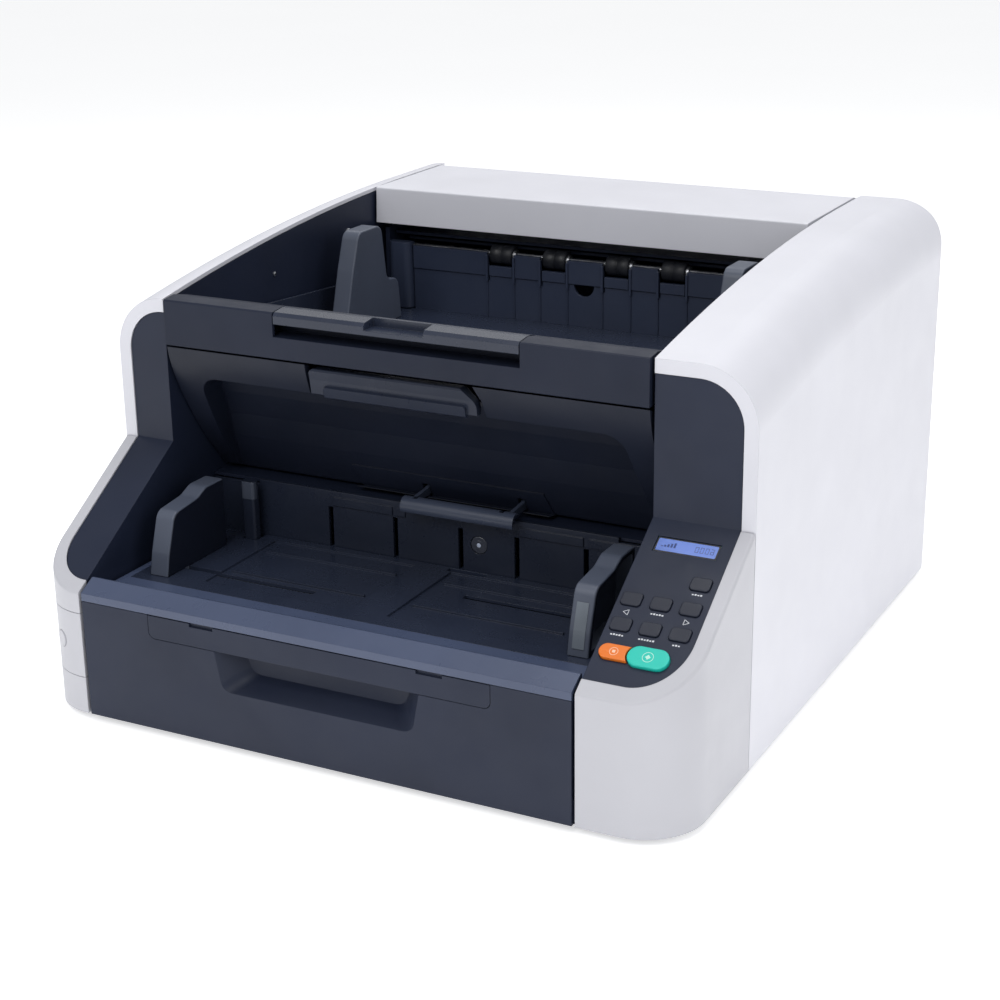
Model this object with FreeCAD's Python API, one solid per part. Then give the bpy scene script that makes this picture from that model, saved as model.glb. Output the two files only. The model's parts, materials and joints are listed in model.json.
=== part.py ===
import FreeCAD, Part
import math
import os

# Sheet fed document scanner with a lower feed tray and an upper, lifting output unit.
# Frame: millimetres, +Z up, +X to the operator's right, front face towards -Y,
# origin at the middle of the footprint on the surface that the feet stand on.

# ---- driving dimensions -------------------------------------------------------
OPENING = 390.0          # clear width between the two side housings
LEFT_SIDE = 42.5         # width of the left housing
RIGHT_SIDE = 72.6        # width of the right housing, which holds the controls
DEPTH = 552.0
HEIGHT = 316.5
FOOT = 5.0               # height of the rubber feet
WALL = 3.0               # wall of the moulded covers
GAP = 0.4                # seam between neighbouring covers
OPEN_SEAM = 0.9           # open seam between the console housing and the side cover
CONSOLE = 121.8          # how far the sloped consoles stand in front of the pillars
CONSOLE_TOP = 177.3      # height of the console at the pillar
CONSOLE_SLOPE = 32.76    # degrees from level
PILLAR_TOP = 286.0       # height of the side covers above the pillar face
CREST = 61.0             # depth of the level rear stretch of the side covers
TOP_ROUND = 41.0         # long outer rounding of the side covers
CORNER_LEFT = 40.0       # plan radius of the front left corner
CORNER_RIGHT = 44.0      # plan radius of the front right corner
CORNER_REAR = 14.0
RIM = 10.0               # light rim round each dark console
SIDE_GAP = 2.4           # running gap between the lifting unit and the housings
TRAY_TOP = 95.0          # height of the feed table
TRAY_WALL = 168.0        # rear wall of the feed tray, measured from the front face
LIP = 13.7               # depth of the sloped front lip
LIP_FRONT = 99.3
LIP_BACK = 106.7
SEAM = 93.5              # underside of the tray lip
SHEET = 3.0              # thickness of tray floors
PATH = 138.0             # top of the lower paper guide
PATH_GAP = 3.5           # height of the paper path
TURN = 66.5              # radius of the rear turn of the paper path
HINGE_IN = 12.0          # hinge axis, in from the rear and down from the top
HINGE_DOWN = 12.0
HINGE_PIN = 4.0          # radius
RUN = 0.05               # radial running clearance
BEAM_FRONT = 119.2       # front face of the unit's beam, measured from the front face
BEAM_LOW = 252.5
BEAM_TOP = 286.4
BEAM_DEPTH = 28.0
FLAP_HALF = 98.0         # half width of the stop flap
FLAP_LOW = 277.9
BAR_LOW = 268.5          # lower edge of the beam's window
EXIT_WALL = 158.8        # plane of the exit wall
EXIT_ROLLER = 8.0        # radius
EXIT_AXIS = 265.0        # height of the exit roller
COVER_LOW = 286.3        # lower edge of the top cover's front face
OUT_FLOOR = 212.0        # level part of the output tray
OUT_LEVEL = 138.0        # depth of that level part
GUIDE_IN = 161.0         # inner faces of the feed guides from the paper centre line
OUT_GUIDE_IN = 158.0
TRAVEL = 110.0           # guide travel, each side
MODULE = 1.5
TEETH = 20
LIFT = 30.0              # travel of the feed table
FLAP_HALF_X = 134.8      # half width of the extension's face
FLAP_BOTTOM = 75.8
FEED_SIDE = 27.0         # feed rollers from the paper centre line
FRAME_OFF = 10.0         # side frame behind the dark inner panel
PLATE = 2.0              # side frame sheet
KEY_W = 14.0
KEY_D = 10.2
KEY_RISE = 1.6
KEY_FIT = 0.3
PANEL = 2.5              # thickness of the dark panels

# ---- places worked out from them ---------------------------------------------
WIDTH = LEFT_SIDE + OPENING + RIGHT_SIDE
XL = -WIDTH / 2
XR = WIDTH / 2
IN_L = XL + LEFT_SIDE
IN_R = XR - RIGHT_SIDE
CX = (IN_L + IN_R) / 2
YF = -DEPTH / 2
YR = DEPTH / 2
YP = YF + CONSOLE
SLOPE = math.radians(CONSOLE_SLOPE)
UNIT = OPENING / 2 - SIDE_GAP
Y_WALL = YF + TRAY_WALL
Y_BEAM = YF + BEAM_FRONT
HY = YR - HINGE_IN
HZ = HEIGHT - HINGE_DOWN
NIP = PATH + PATH_GAP / 2
TURN_Y = EXIT_WALL + 26.0
TURN_Z = NIP + TURN
PITCH_R = MODULE * TEETH / 2
BODY_LOW = FOOT
LATCH_Y = Y_BEAM + 46
LATCH_Z = 226.0
CATCH_R = 2.6
STUD_CLEAR = 0.6         # between the catch stud and the fascia as the unit lifts
CATCH_Y = LATCH_Y + 2.4
CATCH_Z = LATCH_Z - 24.5
PAN_H = 18.0
CORNER_LOW = 33.4        # lower edge of the left corner cover
CORNER_HIGH = 82.8
CORNER_BACK = 62.0       # how far it reaches back from the front face
POWER_ANGLE = math.radians(30)
POWER_R = 6.0
KEY_COLUMNS = (-20.4, 0.0, 20.4)
KEY_ROWS = (67.3, 87.6)
RESET_ROW = 47.3
KEY_MID = 30.3           # middle key column, in from the opening
LCD_W = 44.6
LCD_D = 12.6
LCD_ROW = 20.2
LCD_MID = 31.3
BIG_ROW = 109.6
STOP_END = 3.4           # stop key, from the opening
STOP_D = 11.2
START_MID = 37.2         # start key centre, in from the opening
START_W = 28.2
START_D = 15.2
RECESS = 0.8             # dark panels sit this far inside the light rim
BOARD_DOWN = 7.4         # top of the key board below the console's surface
BOARD_X = (IN_R + 7.0, IN_R + 57.0)
BOARD_ALONG = (14.0, 123.0)
SOCKET_X = CX + 120
SOCKET_Z = 60.0
TABLE_FRONT = YF + 50.0
SLOT_X = (-87.0, -31.0, 24.0, 70.0, 125.0)
TAB_W = 3.2
IN_PINION_Y = YF + 104.0
NECK = 5.0
POST_X = -158.0          # corner post of the wall, from the paper centre line
POST_W = 11.0
POST_OUT = 14.0
OUT_PINION_Y = 84.0
RETARD_Y = Y_WALL + 42
RETARD_R = 11.0
RETARD_Z = NIP - RETARD_R - 0.3
FEED_R = 11.0
FEED_Z = NIP + FEED_R + 0.3
PICK_R = 5.2
PICK_Y = Y_WALL - 6.2
PICK_Z = 140.2
PICK_SHAFT = 2.0
TRANS_Y = -35.0
TRANS_R = 10.0
TRANS_Z = NIP - TRANS_R - 0.3
MOTOR_Y = 60.0
MOTOR_Z = 62.0
CAM_LOW_Y = 10.0
CAM_UP_Y = 62.0
GLASS_W = 30.0
PATH_HALF = 176.0
FEED_Y = RETARD_Y
EXIT_Y = EXIT_WALL + 6.2
BELT_X = IN_R + FRAME_OFF + PLATE + 6.5
FLAP_Y = YF + BEAM_FRONT + 4.6
FLAP_Z = 281.4
HANDLE_L = -71.0
HANDLE_R = 63.0
HANDLE_TOP = 248.0
HANDLE_LOW = 229.0
ROLLER_X = (-78.0, -28.5, 28.5, 78.0)


def tray_under(y):
    """Underside of the output tray's rising front part."""
    y0 = Y_BEAM + BEAM_DEPTH + GAP
    y1 = EXIT_WALL - OUT_LEVEL
    return BEAM_LOW - 2 - SHEET + (OUT_FLOOR - BEAM_LOW + 2) * (y - y0) / (y1 - y0)


def console_z(y):
    return CONSOLE_TOP - (YP - y) * math.tan(SLOPE)


def vec(x, y, z):
    return FreeCAD.Vector(x, y, z)


def box(x0, x1, y0, y1, z0, z1):
    return Part.makeBox(x1 - x0, y1 - y0, z1 - z0, vec(x0, y0, z0))


def face_of(points):
    return Part.Face(Part.makePolygon([vec(*p) for p in points + points[:1]]))


def yz(points, x0, x1):
    return face_of([(x0, y, z) for y, z in points]).extrude(vec(x1 - x0, 0, 0))


def rounded_yz(corners, x0, x1):
    """Prism along X whose outline corners (y, z, radius) are arcs."""
    edges = []
    last = None
    count = len(corners)
    for i in range(count + 1):
        y, z, radius = corners[i % count]
        here = vec(x0, y, z)
        back = vec(x0, *corners[(i - 1) % count][:2]) - here
        ahead = vec(x0, *corners[(i + 1) % count][:2]) - here
        half = back.getAngle(ahead) / 2
        run = radius / math.tan(half)
        start = here + back.normalize() * run
        end = here + ahead.normalize() * run
        if last is not None:
            edges.append(Part.makeLine(last, start))
        if radius and i < count:
            middle = here + (back + ahead).normalize() * (radius / math.sin(half) - radius)
            edges.append(Part.Arc(start, middle, end).toShape())
        last = end
    return Part.Face(Part.Wire(edges)).extrude(vec(x1 - x0, 0, 0))


def xz(points, y0, y1):
    return face_of([(x, y0, z) for x, z in points]).extrude(vec(0, y1 - y0, 0))


def xy(points, z0, z1):
    return face_of([(x, y, z0) for x, y in points]).extrude(vec(0, 0, z1 - z0))


def rod_x(x0, x1, y, z, r):
    return Part.makeCylinder(r, x1 - x0, vec(x0, y, z), vec(1, 0, 0))


def rod_y(x, y0, y1, z, r):
    return Part.makeCylinder(r, y1 - y0, vec(x, y0, z), vec(0, 1, 0))


def rod_z(x, y, z0, z1, r):
    return Part.makeCylinder(r, z1 - z0, vec(x, y, z0), vec(0, 0, 1))


def tube_x(x0, x1, y, z, r_out, r_in):
    return rod_x(x0, x1, y, z, r_out).cut(rod_x(x0 - 1, x1 + 1, y, z, r_in))


def join(first, *others):
    return first.fuse(list(others)).removeSplitter()


def carve(first, *others):
    return first.cut(list(others))


def round_edges(shape, radius, keep):
    edges = [e for e in shape.Edges if keep(e.BoundBox)]
    return shape.makeFillet(radius, edges)


def upright(b):
    return b.XLength < 0.01 and b.YLength < 0.01 and b.ZLength > 1


def along_x(b):
    return b.YLength < 0.01 and b.ZLength < 0.01 and b.XLength > 1


def slab(w, d, h, r):
    """A plate centred on the origin, standing on z = 0, with rounded corners."""
    return round_edges(box(-w / 2, w / 2, -d / 2, d / 2, 0, h), r, upright)


def on_console(shape, x, along, rise=0.0):
    """Place a shape built flat on the console, `along` millimetres down its slope."""
    s = shape.copy()
    s.translate(vec(0, -along, rise))
    s.rotate(vec(0, 0, 0), vec(1, 0, 0), CONSOLE_SLOPE)
    s.translate(vec(x, YP, CONSOLE_TOP))
    return s


# ---- outer shape --------------------------------------------------------------
def footprint(inset, z0, z1):
    """The rounded outline of the whole object, drawn in by `inset`."""
    block = box(XL + inset, XR - inset, YF + inset, YR - inset, z0, z1)
    front_left = round_edges(block, CORNER_LEFT - inset, lambda b: upright(b) and b.XMin < 0
                             and b.YMin < 0)
    front = round_edges(front_left, CORNER_RIGHT - inset, lambda b: upright(b) and b.XMin > 0
                        and b.YMin < 0)
    return round_edges(front, CORNER_REAR - inset, lambda b: upright(b) and b.YMin > YR - inset - 1)


def crest_radius():
    run = YR - CREST - YP
    drop = HEIGHT - PILLAR_TOP
    return (run * run + drop * drop) / (2 * drop)


def crest_z(y):
    run = max(0.0, YR - CREST - y)
    r = crest_radius()
    return HEIGHT - r + math.sqrt(r * r - run * run)


def side_block(x0, x1, y0, drop, z0=BODY_LOW):
    """Side silhouette from y0 to the rear, its top lowered by `drop`."""
    mid = (y0 + YR - CREST) / 2
    start = vec(x0, y0, crest_z(y0) - drop)
    middle = vec(x0, mid, crest_z(mid) - drop)
    end = vec(x0, YR - CREST, HEIGHT - drop)
    corners = [end, vec(x0, YR, HEIGHT - drop), vec(x0, YR, z0), vec(x0, y0, z0), start]
    edges = [Part.Arc(start, middle, end).toShape()]
    edges += [Part.makeLine(a, b) for a, b in zip(corners, corners[1:])]
    return Part.Face(Part.Wire(edges)).extrude(vec(x1 - x0, 0, 0))


def rounded_side(x_in, x_out, y0, inset, top_drop, z0=BODY_LOW):
    """Side housing with its long outer top edge rounded, drawn in by `inset`."""
    sign = 1 if x_out > x_in else -1
    outer = x_out - sign * inset
    block = side_block(min(x_in, outer), max(x_in, outer), y0, top_drop, z0)
    low = crest_z(y0) - top_drop - 1

    def top_edge(b):
        return abs(b.XMin - outer) < 0.01 and b.XLength < 0.01 and b.ZMin > low and b.YLength > 20
    return round_edges(block, TOP_ROUND - inset, top_edge)


def side_ends(side):
    return (IN_R, XR) if side > 0 else (IN_L, XL)


def side_cover(side):
    """Light outer cover: side wall, rounded top and the rim round the pillar."""
    x_in, x_out = side_ends(side)
    outer = rounded_side(x_in, x_out, YP, 0.0, 0.0).common(footprint(0, BODY_LOW, HEIGHT))
    inner = rounded_side(x_in - side, x_out, YP + 4.0, WALL, WALL, BODY_LOW - 1)
    inner = inner.common(footprint(WALL, BODY_LOW - 1, HEIGHT))
    window = rounded_side(x_in - side, x_out, YP - 1, RIM, RIM, BODY_LOW - 1)
    front = box(XL, XR, YP - 1, YP + 4.5, 0, HEIGHT)
    below = footprint(WALL, 0, CONSOLE_TOP - 15).common(front)
    hinge_slot = rod_x(x_in - 5, x_in + 5, HY, HZ, HINGE_PIN + 2)
    return carve(outer, inner, window.common(front), below, hinge_slot)


def console_block(x_in, x_out, inset, drop, y1):
    """Front housing solid: sloped top, upright front, drawn in by `inset`."""
    sign = 1 if x_out > x_in else -1
    outer = x_out - sign * inset
    y0 = YF + inset
    points = [(y0, BODY_LOW), (y1, BODY_LOW), (y1, console_z(y1) - drop), (y0, console_z(y0) - drop)]
    block = yz(points, min(x_in, outer), max(x_in, outer))
    return block.common(footprint(inset, 0, HEIGHT))


def front_housing(side):
    """Light lower front housing with the opening for the sloped dark panel."""
    x_in, x_out = side_ends(side)
    outer = console_block(x_in, x_out, 0.0, 0.0, YP - OPEN_SEAM)
    steep = WALL / math.cos(SLOPE)

    def front_top(b):
        return abs(b.ZMax - console_z(YF)) < 0.5 and b.XLength > 1 and b.YLength < 0.01
    outer = round_edges(outer, 2.5, front_top)
    inner = console_block(x_in - side, x_out, WALL, steep, YP + 1)
    inner.translate(vec(0, 0, -0.01))
    deep = console_block(x_in - side, x_out, WALL, steep, YP + 1)
    deep.translate(vec(0, 0, -WALL))
    window = console_block(x_in - side, x_out, RIM, -20.0, YP + 1)
    lower = box(XL, XR, YF, YP + 2, 0, console_z(YF) - 20)
    window = window.cut(lower)
    shell = carve(outer, inner, deep, window)
    if side < 0:
        shell = shell.cut(corner_band(GAP))
    return shell


def corner_band(grow):
    return box(XL - 5, IN_L + 5, YF - 5, YF + CORNER_BACK + grow, CORNER_LOW - grow, CORNER_HIGH + grow)


def power_place(shape):
    """Place a shape built round +Z so that it points out of the front left corner."""
    s = shape.copy()
    out = vec(-math.sin(POWER_ANGLE), -math.cos(POWER_ANGLE), 0)
    spot = vec(XL + CORNER_LEFT, YF + CORNER_LEFT, (CORNER_LOW + CORNER_HIGH) / 2) + out * CORNER_LEFT
    s.Placement = FreeCAD.Placement(spot, FreeCAD.Rotation(vec(0, 0, 1), out))
    return s


def left_corner_cover():
    x_in, x_out = side_ends(-1)
    solid = console_block(x_in, x_out, 0.0, 0.0, YP - OPEN_SEAM)
    solid = solid.common(corner_band(0))
    hollow = footprint(WALL, 0, HEIGHT)
    hole = power_place(Part.makeCylinder(POWER_R + KEY_FIT, 20, vec(0, 0, -10)))
    return carve(solid, hollow, hole)


def power_key():
    cap = Part.makeCylinder(POWER_R, 5.5, vec(0, 0, -5.0))
    cap = round_edges(cap, 0.4, lambda b: b.ZLength < 0.01 and b.ZMin > 0)
    return power_place(cap)


# ---- dark inner panels --------------------------------------------------------


def small_keys():
    """Key name to its place on the right console: x and distance down the slope."""
    x = IN_R + KEY_MID
    upper = dict(zip(("back_key", "mode_key", "next_key"), KEY_COLUMNS))
    lower = dict(zip(("count_key", "manual_key", "end_key"), KEY_COLUMNS))
    places = {"reset_key": (x + KEY_COLUMNS[2], RESET_ROW)}
    places.update({name: (x + dx, KEY_ROWS[0]) for name, dx in upper.items()})
    places.update({name: (x + dx, KEY_ROWS[1]) for name, dx in lower.items()})
    return places


def start_outline(grow, h0, h1):
    w = START_W + 2 * grow
    d = START_D + 2 * grow
    plate = round_edges(box(-w / 2, w / 2, -d / 2, d / 2, h0, h1), d / 2 - 0.05, upright)
    plate.translate(vec(IN_R + START_MID, -BIG_ROW, 0))
    return plate


def stop_outline(grow, h0, h1):
    """Round left end, right end hollowed to follow the start key."""
    x0 = IN_R + STOP_END - grow
    x1 = IN_R + START_MID - START_W / 2 + 4.0
    d = STOP_D / 2 + grow
    plate = box(x0, x1, -d, d, h0, h1)
    plate = round_edges(plate, d - 0.05, lambda b: upright(b) and b.XMax < x0 + 1)
    plate.translate(vec(0, -BIG_ROW, 0))
    return plate.cut(start_outline(1.1 - grow, h0 - 1, h1 + 1))


def console_frame(shape):
    return on_console(shape, 0, 0)


def key_caps():
    caps = {}
    for name, (x, row) in small_keys().items():
        cap = slab(KEY_W, KEY_D, PANEL + 1.0 + KEY_RISE, 2.6)
        cap = round_edges(cap, 0.7, lambda b: b.ZLength < 0.01 and b.ZMin > 1)
        caps[name] = on_console(cap, x, row, -PANEL - 2.0)
    low = -PANEL - 2.0
    start = start_outline(0, low, KEY_RISE + 0.4)
    stop = stop_outline(0, low, KEY_RISE)
    caps["start_key"] = console_frame(round_edges(start, 0.8, lambda b: b.ZLength < 0.01 and b.ZMin > 0))
    caps["stop_key"] = console_frame(round_edges(stop, 0.6, lambda b: b.ZLength < 0.01 and b.ZMin > 0))
    return caps


def key_holes():
    holes = []
    for x, row in small_keys().values():
        w = KEY_W + 2 * KEY_FIT
        hole = slab(w, KEY_D + 2 * KEY_FIT, 20, 2.6 + KEY_FIT)
        holes.append(on_console(hole, x, row, -10))
    holes.append(console_frame(start_outline(KEY_FIT, -10, 10)))
    holes.append(console_frame(stop_outline(KEY_FIT, -10, 10)))
    screen = box(-LCD_W / 2, LCD_W / 2, -LCD_D / 2, LCD_D / 2, -10, 10)
    holes.append(on_console(screen, IN_R + LCD_MID, LCD_ROW))
    return holes


def lcd_display():
    """Display with its glass just under the console's surface and its back on the key board."""
    glass = box(-LCD_W / 2 + 0.3, LCD_W / 2 - 0.3, -LCD_D / 2 + 0.3, LCD_D / 2 - 0.3, -3.5, -1.6)
    back = box(-LCD_W / 2 - 4, LCD_W / 2 + 4, -LCD_D / 2 - 3, LCD_D / 2 + 4, -BOARD_DOWN - 0.1, -3.8)
    neck = box(-LCD_W / 2 + 1, LCD_W / 2 - 1, -LCD_D / 2 + 1, LCD_D / 2 - 1, -4, -3)
    return on_console(join(glass, neck, back), IN_R + LCD_MID, LCD_ROW)


def board_bosses():
    """Posts under the console that carry the key board."""
    rows = (BOARD_ALONG[0] + 20, BOARD_ALONG[1] - 3)
    spots = [(x, row) for x in (BOARD_X[0] + 3, BOARD_X[1] - 8) for row in rows]
    top = -RECESS - 1.0
    return [on_console(Part.makeCylinder(2.2, BOARD_DOWN + top), x, row, -BOARD_DOWN) for x, row in spots]


def console_board():
    """Circuit board under the keys: one dome switch for each key, and the display soldered to it."""
    width = BOARD_X[1] - BOARD_X[0]
    length = BOARD_ALONG[1] - BOARD_ALONG[0]
    board = slab(width, length, 1.6, 2.0)
    board = on_console(board, sum(BOARD_X) / 2, sum(BOARD_ALONG) / 2, -BOARD_DOWN - 1.6)
    spots = list(small_keys().values()) + [(IN_R + START_MID, BIG_ROW), (IN_R + STOP_END + 8, BIG_ROW)]
    domes = [on_console(Part.makeCone(3.0, 2.0, 1.7), x, row, -BOARD_DOWN - 0.1) for x, row in spots]
    return join(board, lcd_display(), *domes)


def inner_panel(side):
    """Dark moulding: wall beside the trays, pillar face and sloped console."""
    x_in, x_out = side_ends(side)
    face_out = x_out - side * (RIM + GAP)
    wall_out = x_in + side * PANEL
    lo, hi = min(x_in, wall_out), max(x_in, wall_out)
    low = BODY_LOW + PAN_H + GAP
    wall = side_block(lo, hi, YP + RECESS, WALL + GAP, low)
    steep = 1 / math.cos(SLOPE)
    y0, y1 = YF + WALL + GAP, YF + RIM + GAP
    front = [(y0, low), (YP + 2, low), (YP + 2, console_z(YP + 2) - RECESS * steep),
             (y1, console_z(y1) - RECESS * steep), (y1, console_z(y1) - (WALL + GAP) * steep - GAP),
             (y0, console_z(y0) - (WALL + GAP) * steep - GAP)]
    wall = wall.fuse(yz(front, lo, hi))
    cellar = box(-400, 400, Y_WALL + 16, YR + 1, 0, PATH - 1)
    back_cut = box(-400, 400, YR - WALL - GAP, YR + 1, 0, HEIGHT)
    rim_cut = box(-400, 400, YP - 1, YP + 4 + GAP, PILLAR_TOP - RIM - GAP, HEIGHT)
    wall = carve(wall, cellar, back_cut, rim_cut, rod_x(x_in - 9, x_in + 9, HY, HZ, HINGE_PIN + 1),
                 rod_x(x_in - 9, x_in + 9, CATCH_Y, CATCH_Z, CATCH_R + 0.6))
    pillar = rounded_side(x_in, x_out, YP + RECESS, RIM + GAP, RIM + GAP, CONSOLE_TOP - 8)
    pillar = pillar.common(box(XL, XR, YP + RECESS, YP + RECESS + PANEL, 0, HEIGHT))
    slope = console_block(x_in, x_out, RIM + GAP, RECESS / math.cos(SLOPE), YP + RECESS + PANEL)
    under = console_block(x_in, x_out, RIM, (RECESS + PANEL) / math.cos(SLOPE), YP + 40)
    plate = slope.cut(under)
    post = box(-400, 400, YP + RECESS + PANEL, YP + 40, 0, HEIGHT)
    panel = wall.fuse([pillar, plate.cut(post)]).removeSplitter()
    reach = box(min(x_in, face_out), max(x_in, face_out), YF, YR, 0, HEIGHT)
    panel = panel.common(reach)
    if side > 0:
        panel = panel.cut(key_holes()).fuse(board_bosses())
    return panel


# ---- base, frames and rear ----------------------------------------------------
def base_pan():
    outline = footprint(WALL + 0.5, BODY_LOW, BODY_LOW + PAN_H)
    hollow = footprint(WALL + 3.0, BODY_LOW + WALL, BODY_LOW + 2 * PAN_H)
    ribs = [box(IN_L + 4, IN_R - 4, y - 1.5, y + 1.5, BODY_LOW + 1, BODY_LOW + 12) for y in (-150,
                                                                                             -20, 110)]
    posts = [rod_z(x, y, BODY_LOW + 1, BODY_LOW + PAN_H, 6) for x in (-150, 120) for y in (-215, 215)]
    return join(carve(outline, hollow), *ribs, *posts)


def rubber_feet():
    feet = []
    for x in (XL + 42, XR - 46):
        for y in (YF + 42, YR - 42):
            foot = Part.makeCone(13.0, 12.0, FOOT, vec(x, y, 0), vec(0, 0, 1))
            feet.append(foot)
    return feet


def side_frame(side):
    """Steel side plate with the hinge stud that carries the lifting unit."""
    x_in = side_ends(side)[0]
    x0 = x_in + side * FRAME_OFF
    x1 = x0 + side * PLATE
    low = BODY_LOW + WALL
    outline = [(YP + 14, low), (YR - 14, low), (YR - 14, low + 18), (YR - 6, low + 30), (YR - 6, HZ + 7),
               (HY - 12, HZ + 7), (YP + 20, 255), (YP + 14, 200)]
    plate = yz(outline, min(x0, x1), max(x0, x1))
    tip = CX + side * (UNIT - 8.6)
    stud = rod_x(min(x1, tip), max(x1, tip), HY, HZ, HINGE_PIN)
    catch_tip = CX + side * (UNIT - 3.2)
    catch = rod_x(min(x1, catch_tip), max(x1, catch_tip), CATCH_Y, CATCH_Z, CATCH_R)
    holes = [rod_x(x0 - 5, x0 + 5, y, z, r) for y, z, r in
             ((-20, 210, 22), (60, 210, 26), (150, 220, 24), (120, 90, 20), (-70, 190, 14))]
    shafts = [rod_x(x0 - 5, x0 + 5, y, z, r) for y, z, r in
              ((MOTOR_Y, MOTOR_Z, 12.0), (TRANS_Y, TRANS_Z, 4.0 + RUN), (RETARD_Y, RETARD_Z, 4.0 + RUN))]
    foot_x0 = x0 - side * 12
    foot = box(min(foot_x0, x1), max(foot_x0, x1), YP + 60, YR - 30, low, low + PLATE)
    return join(carve(join(plate, foot), *holes, *shafts), stud, catch)


def rear_cover():
    """Light rear wall with a vent field and the socket opening."""
    x0 = IN_L + GAP
    x1 = IN_R - GAP
    top = HZ - 9.5
    wall = box(x0, x1, YR - WALL, YR, BODY_LOW, top)
    slots = []
    for row in range(3):
        for col in range(16):
            x = CX - 120 + col * 16
            z = 180 + row * 26
            slots.append(box(x - 2.5, x + 2.5, YR - 5, YR + 1, z, z + 18))
    sockets = box(SOCKET_X - 26, SOCKET_X + 26, YR - 5, YR + 1, SOCKET_Z - 9, SOCKET_Z + 9)
    flange_low = box(x0, x1, YR - 12, YR - WALL + 0.1, BODY_LOW + 22, BODY_LOW + 25)
    tabs = [box(x, x + 12, YR - 12, YR - WALL + 0.1, top - 20, top - 17) for x in (x0 + 22, x1 - 34)]
    return carve(join(wall, flange_low, *tabs), *slots, sockets)


def control_board():
    """Main board behind the rear cover with its power inlet and data socket."""
    y1 = YR - WALL - 9
    board = box(SOCKET_X - 170, SOCKET_X + 40, y1 - 1.6, y1, 32, 120)
    inlet = box(SOCKET_X - 20, SOCKET_X - 6, y1 - 0.5, YR - 1, SOCKET_Z - 6, SOCKET_Z + 6)
    inlet = inlet.cut(rod_y(SOCKET_X - 13, YR - 11, YR + 1, SOCKET_Z, 3.5))
    pin = rod_y(SOCKET_X - 13, YR - 11.5, YR - 3, SOCKET_Z, 1.0)
    data = box(SOCKET_X + 4, SOCKET_X + 17, y1 - 0.5, YR - 1, SOCKET_Z - 5.5, SOCKET_Z + 5.5)
    data = data.cut(box(SOCKET_X + 5.5, SOCKET_X + 15.5, YR - 10, YR, SOCKET_Z - 4, SOCKET_Z + 4))
    chips = [box(SOCKET_X - x, SOCKET_X - x + w, y1 - 4, y1 - 1.5, z, z + w) for x, z, w in
             ((150, 70, 24), (110, 60, 18), (80, 84, 12))]
    feet = [box(x, x + 8, y1 - 14, y1 - 1.5, BODY_LOW + WALL, 34) for x in (SOCKET_X - 160, SOCKET_X + 20)]
    return join(board, inlet, data, pin, *chips, *feet)


# ---- feed tray ---------------------------------------------------------------


def front_panel():
    """Dark front with the finger scoop and the opening for the extension's face."""
    x0, x1 = CX - UNIT, CX + UNIT
    wall = box(x0, x1, YF + 0.1, YF + WALL, BODY_LOW, SEAM - GAP)
    returns = [box(x, x + WALL, YF + WALL - 0.1, YF + LIP - 1, BODY_LOW + 20, SEAM - GAP)
               for x in (x0, x1 - WALL)]
    opening = extension_face(GAP, YF - 1, YF + WALL + 1)
    scoop_in = scoop(0.0, 17.0)
    scoop_out = scoop(PANEL, 17.0 + PANEL).common(box(-400, 400, YF + 0.5, YF + 60, 0, FLAP_BOTTOM - GAP))
    shell = join(wall, scoop_out, *returns)
    window = box(CX - 85, CX + 85, YF + WALL, YF + 60, FLAP_BOTTOM - GAP, SEAM)
    return carve(shell, opening, scoop_in, window)


def scoop(grow, deep):
    """Finger recess: a flared pocket that is open at its top."""
    low = 46.0 - grow
    rise = 10.0
    high = FLAP_BOTTOM + 2.0
    front = [(-81 - grow, high), (-75 - grow, low), (77 + grow, low), (83 + grow, high)]
    back = [(-68 - grow, high), (-59 - grow, low + rise), (61 + grow, low + rise), (70 + grow, high)]
    wires = []
    for outline, y in ((front, YF - 0.5), (back, YF + deep)):
        points = [vec(CX + x, y, z) for x, z in outline]
        wires.append(Part.makePolygon(points + points[:1]))
    solid = Part.makeLoft(wires, True, True)

    def flank(b):
        return b.YLength > 10 and b.ZMax < high - 5
    return round_edges(solid, 11.0 + grow, flank)


def extension_face(grow, y0, y1):
    x0, x1 = CX - FLAP_HALF_X - grow, CX + FLAP_HALF_X + grow
    plate = box(x0, x1, y0, y1, FLAP_BOTTOM - grow, SEAM - GAP + (1 if grow else -GAP))
    return round_edges(plate, 5.0 + grow, lambda b: b.XLength < 0.01 and b.ZLength < 0.01
                       and b.ZMin < FLAP_BOTTOM + 1)


def tray_extension():
    """Sliding leaf with its face in the front panel."""
    face = extension_face(0.0, YF + 0.1, YF + WALL)
    notches = [box(CX + x - 9.8, CX + x + 9.8, YF - 1, YF + 2.0, SEAM - 3.2, SEAM) for x in (-90, 90)]
    leaf = box(CX - FLAP_HALF_X + 8, CX + FLAP_HALF_X - 8, YF + WALL - 0.1, YF + WALL + 128, 79.5, 82.0)
    ribs = [box(CX + x - 1.2, CX + x + 1.2, YF + WALL, YF + WALL + 120, 76.5, 79.6)
            for x in (-110, -92, 92, 110)]
    return join(carve(face, *notches), leaf, *ribs)


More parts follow.
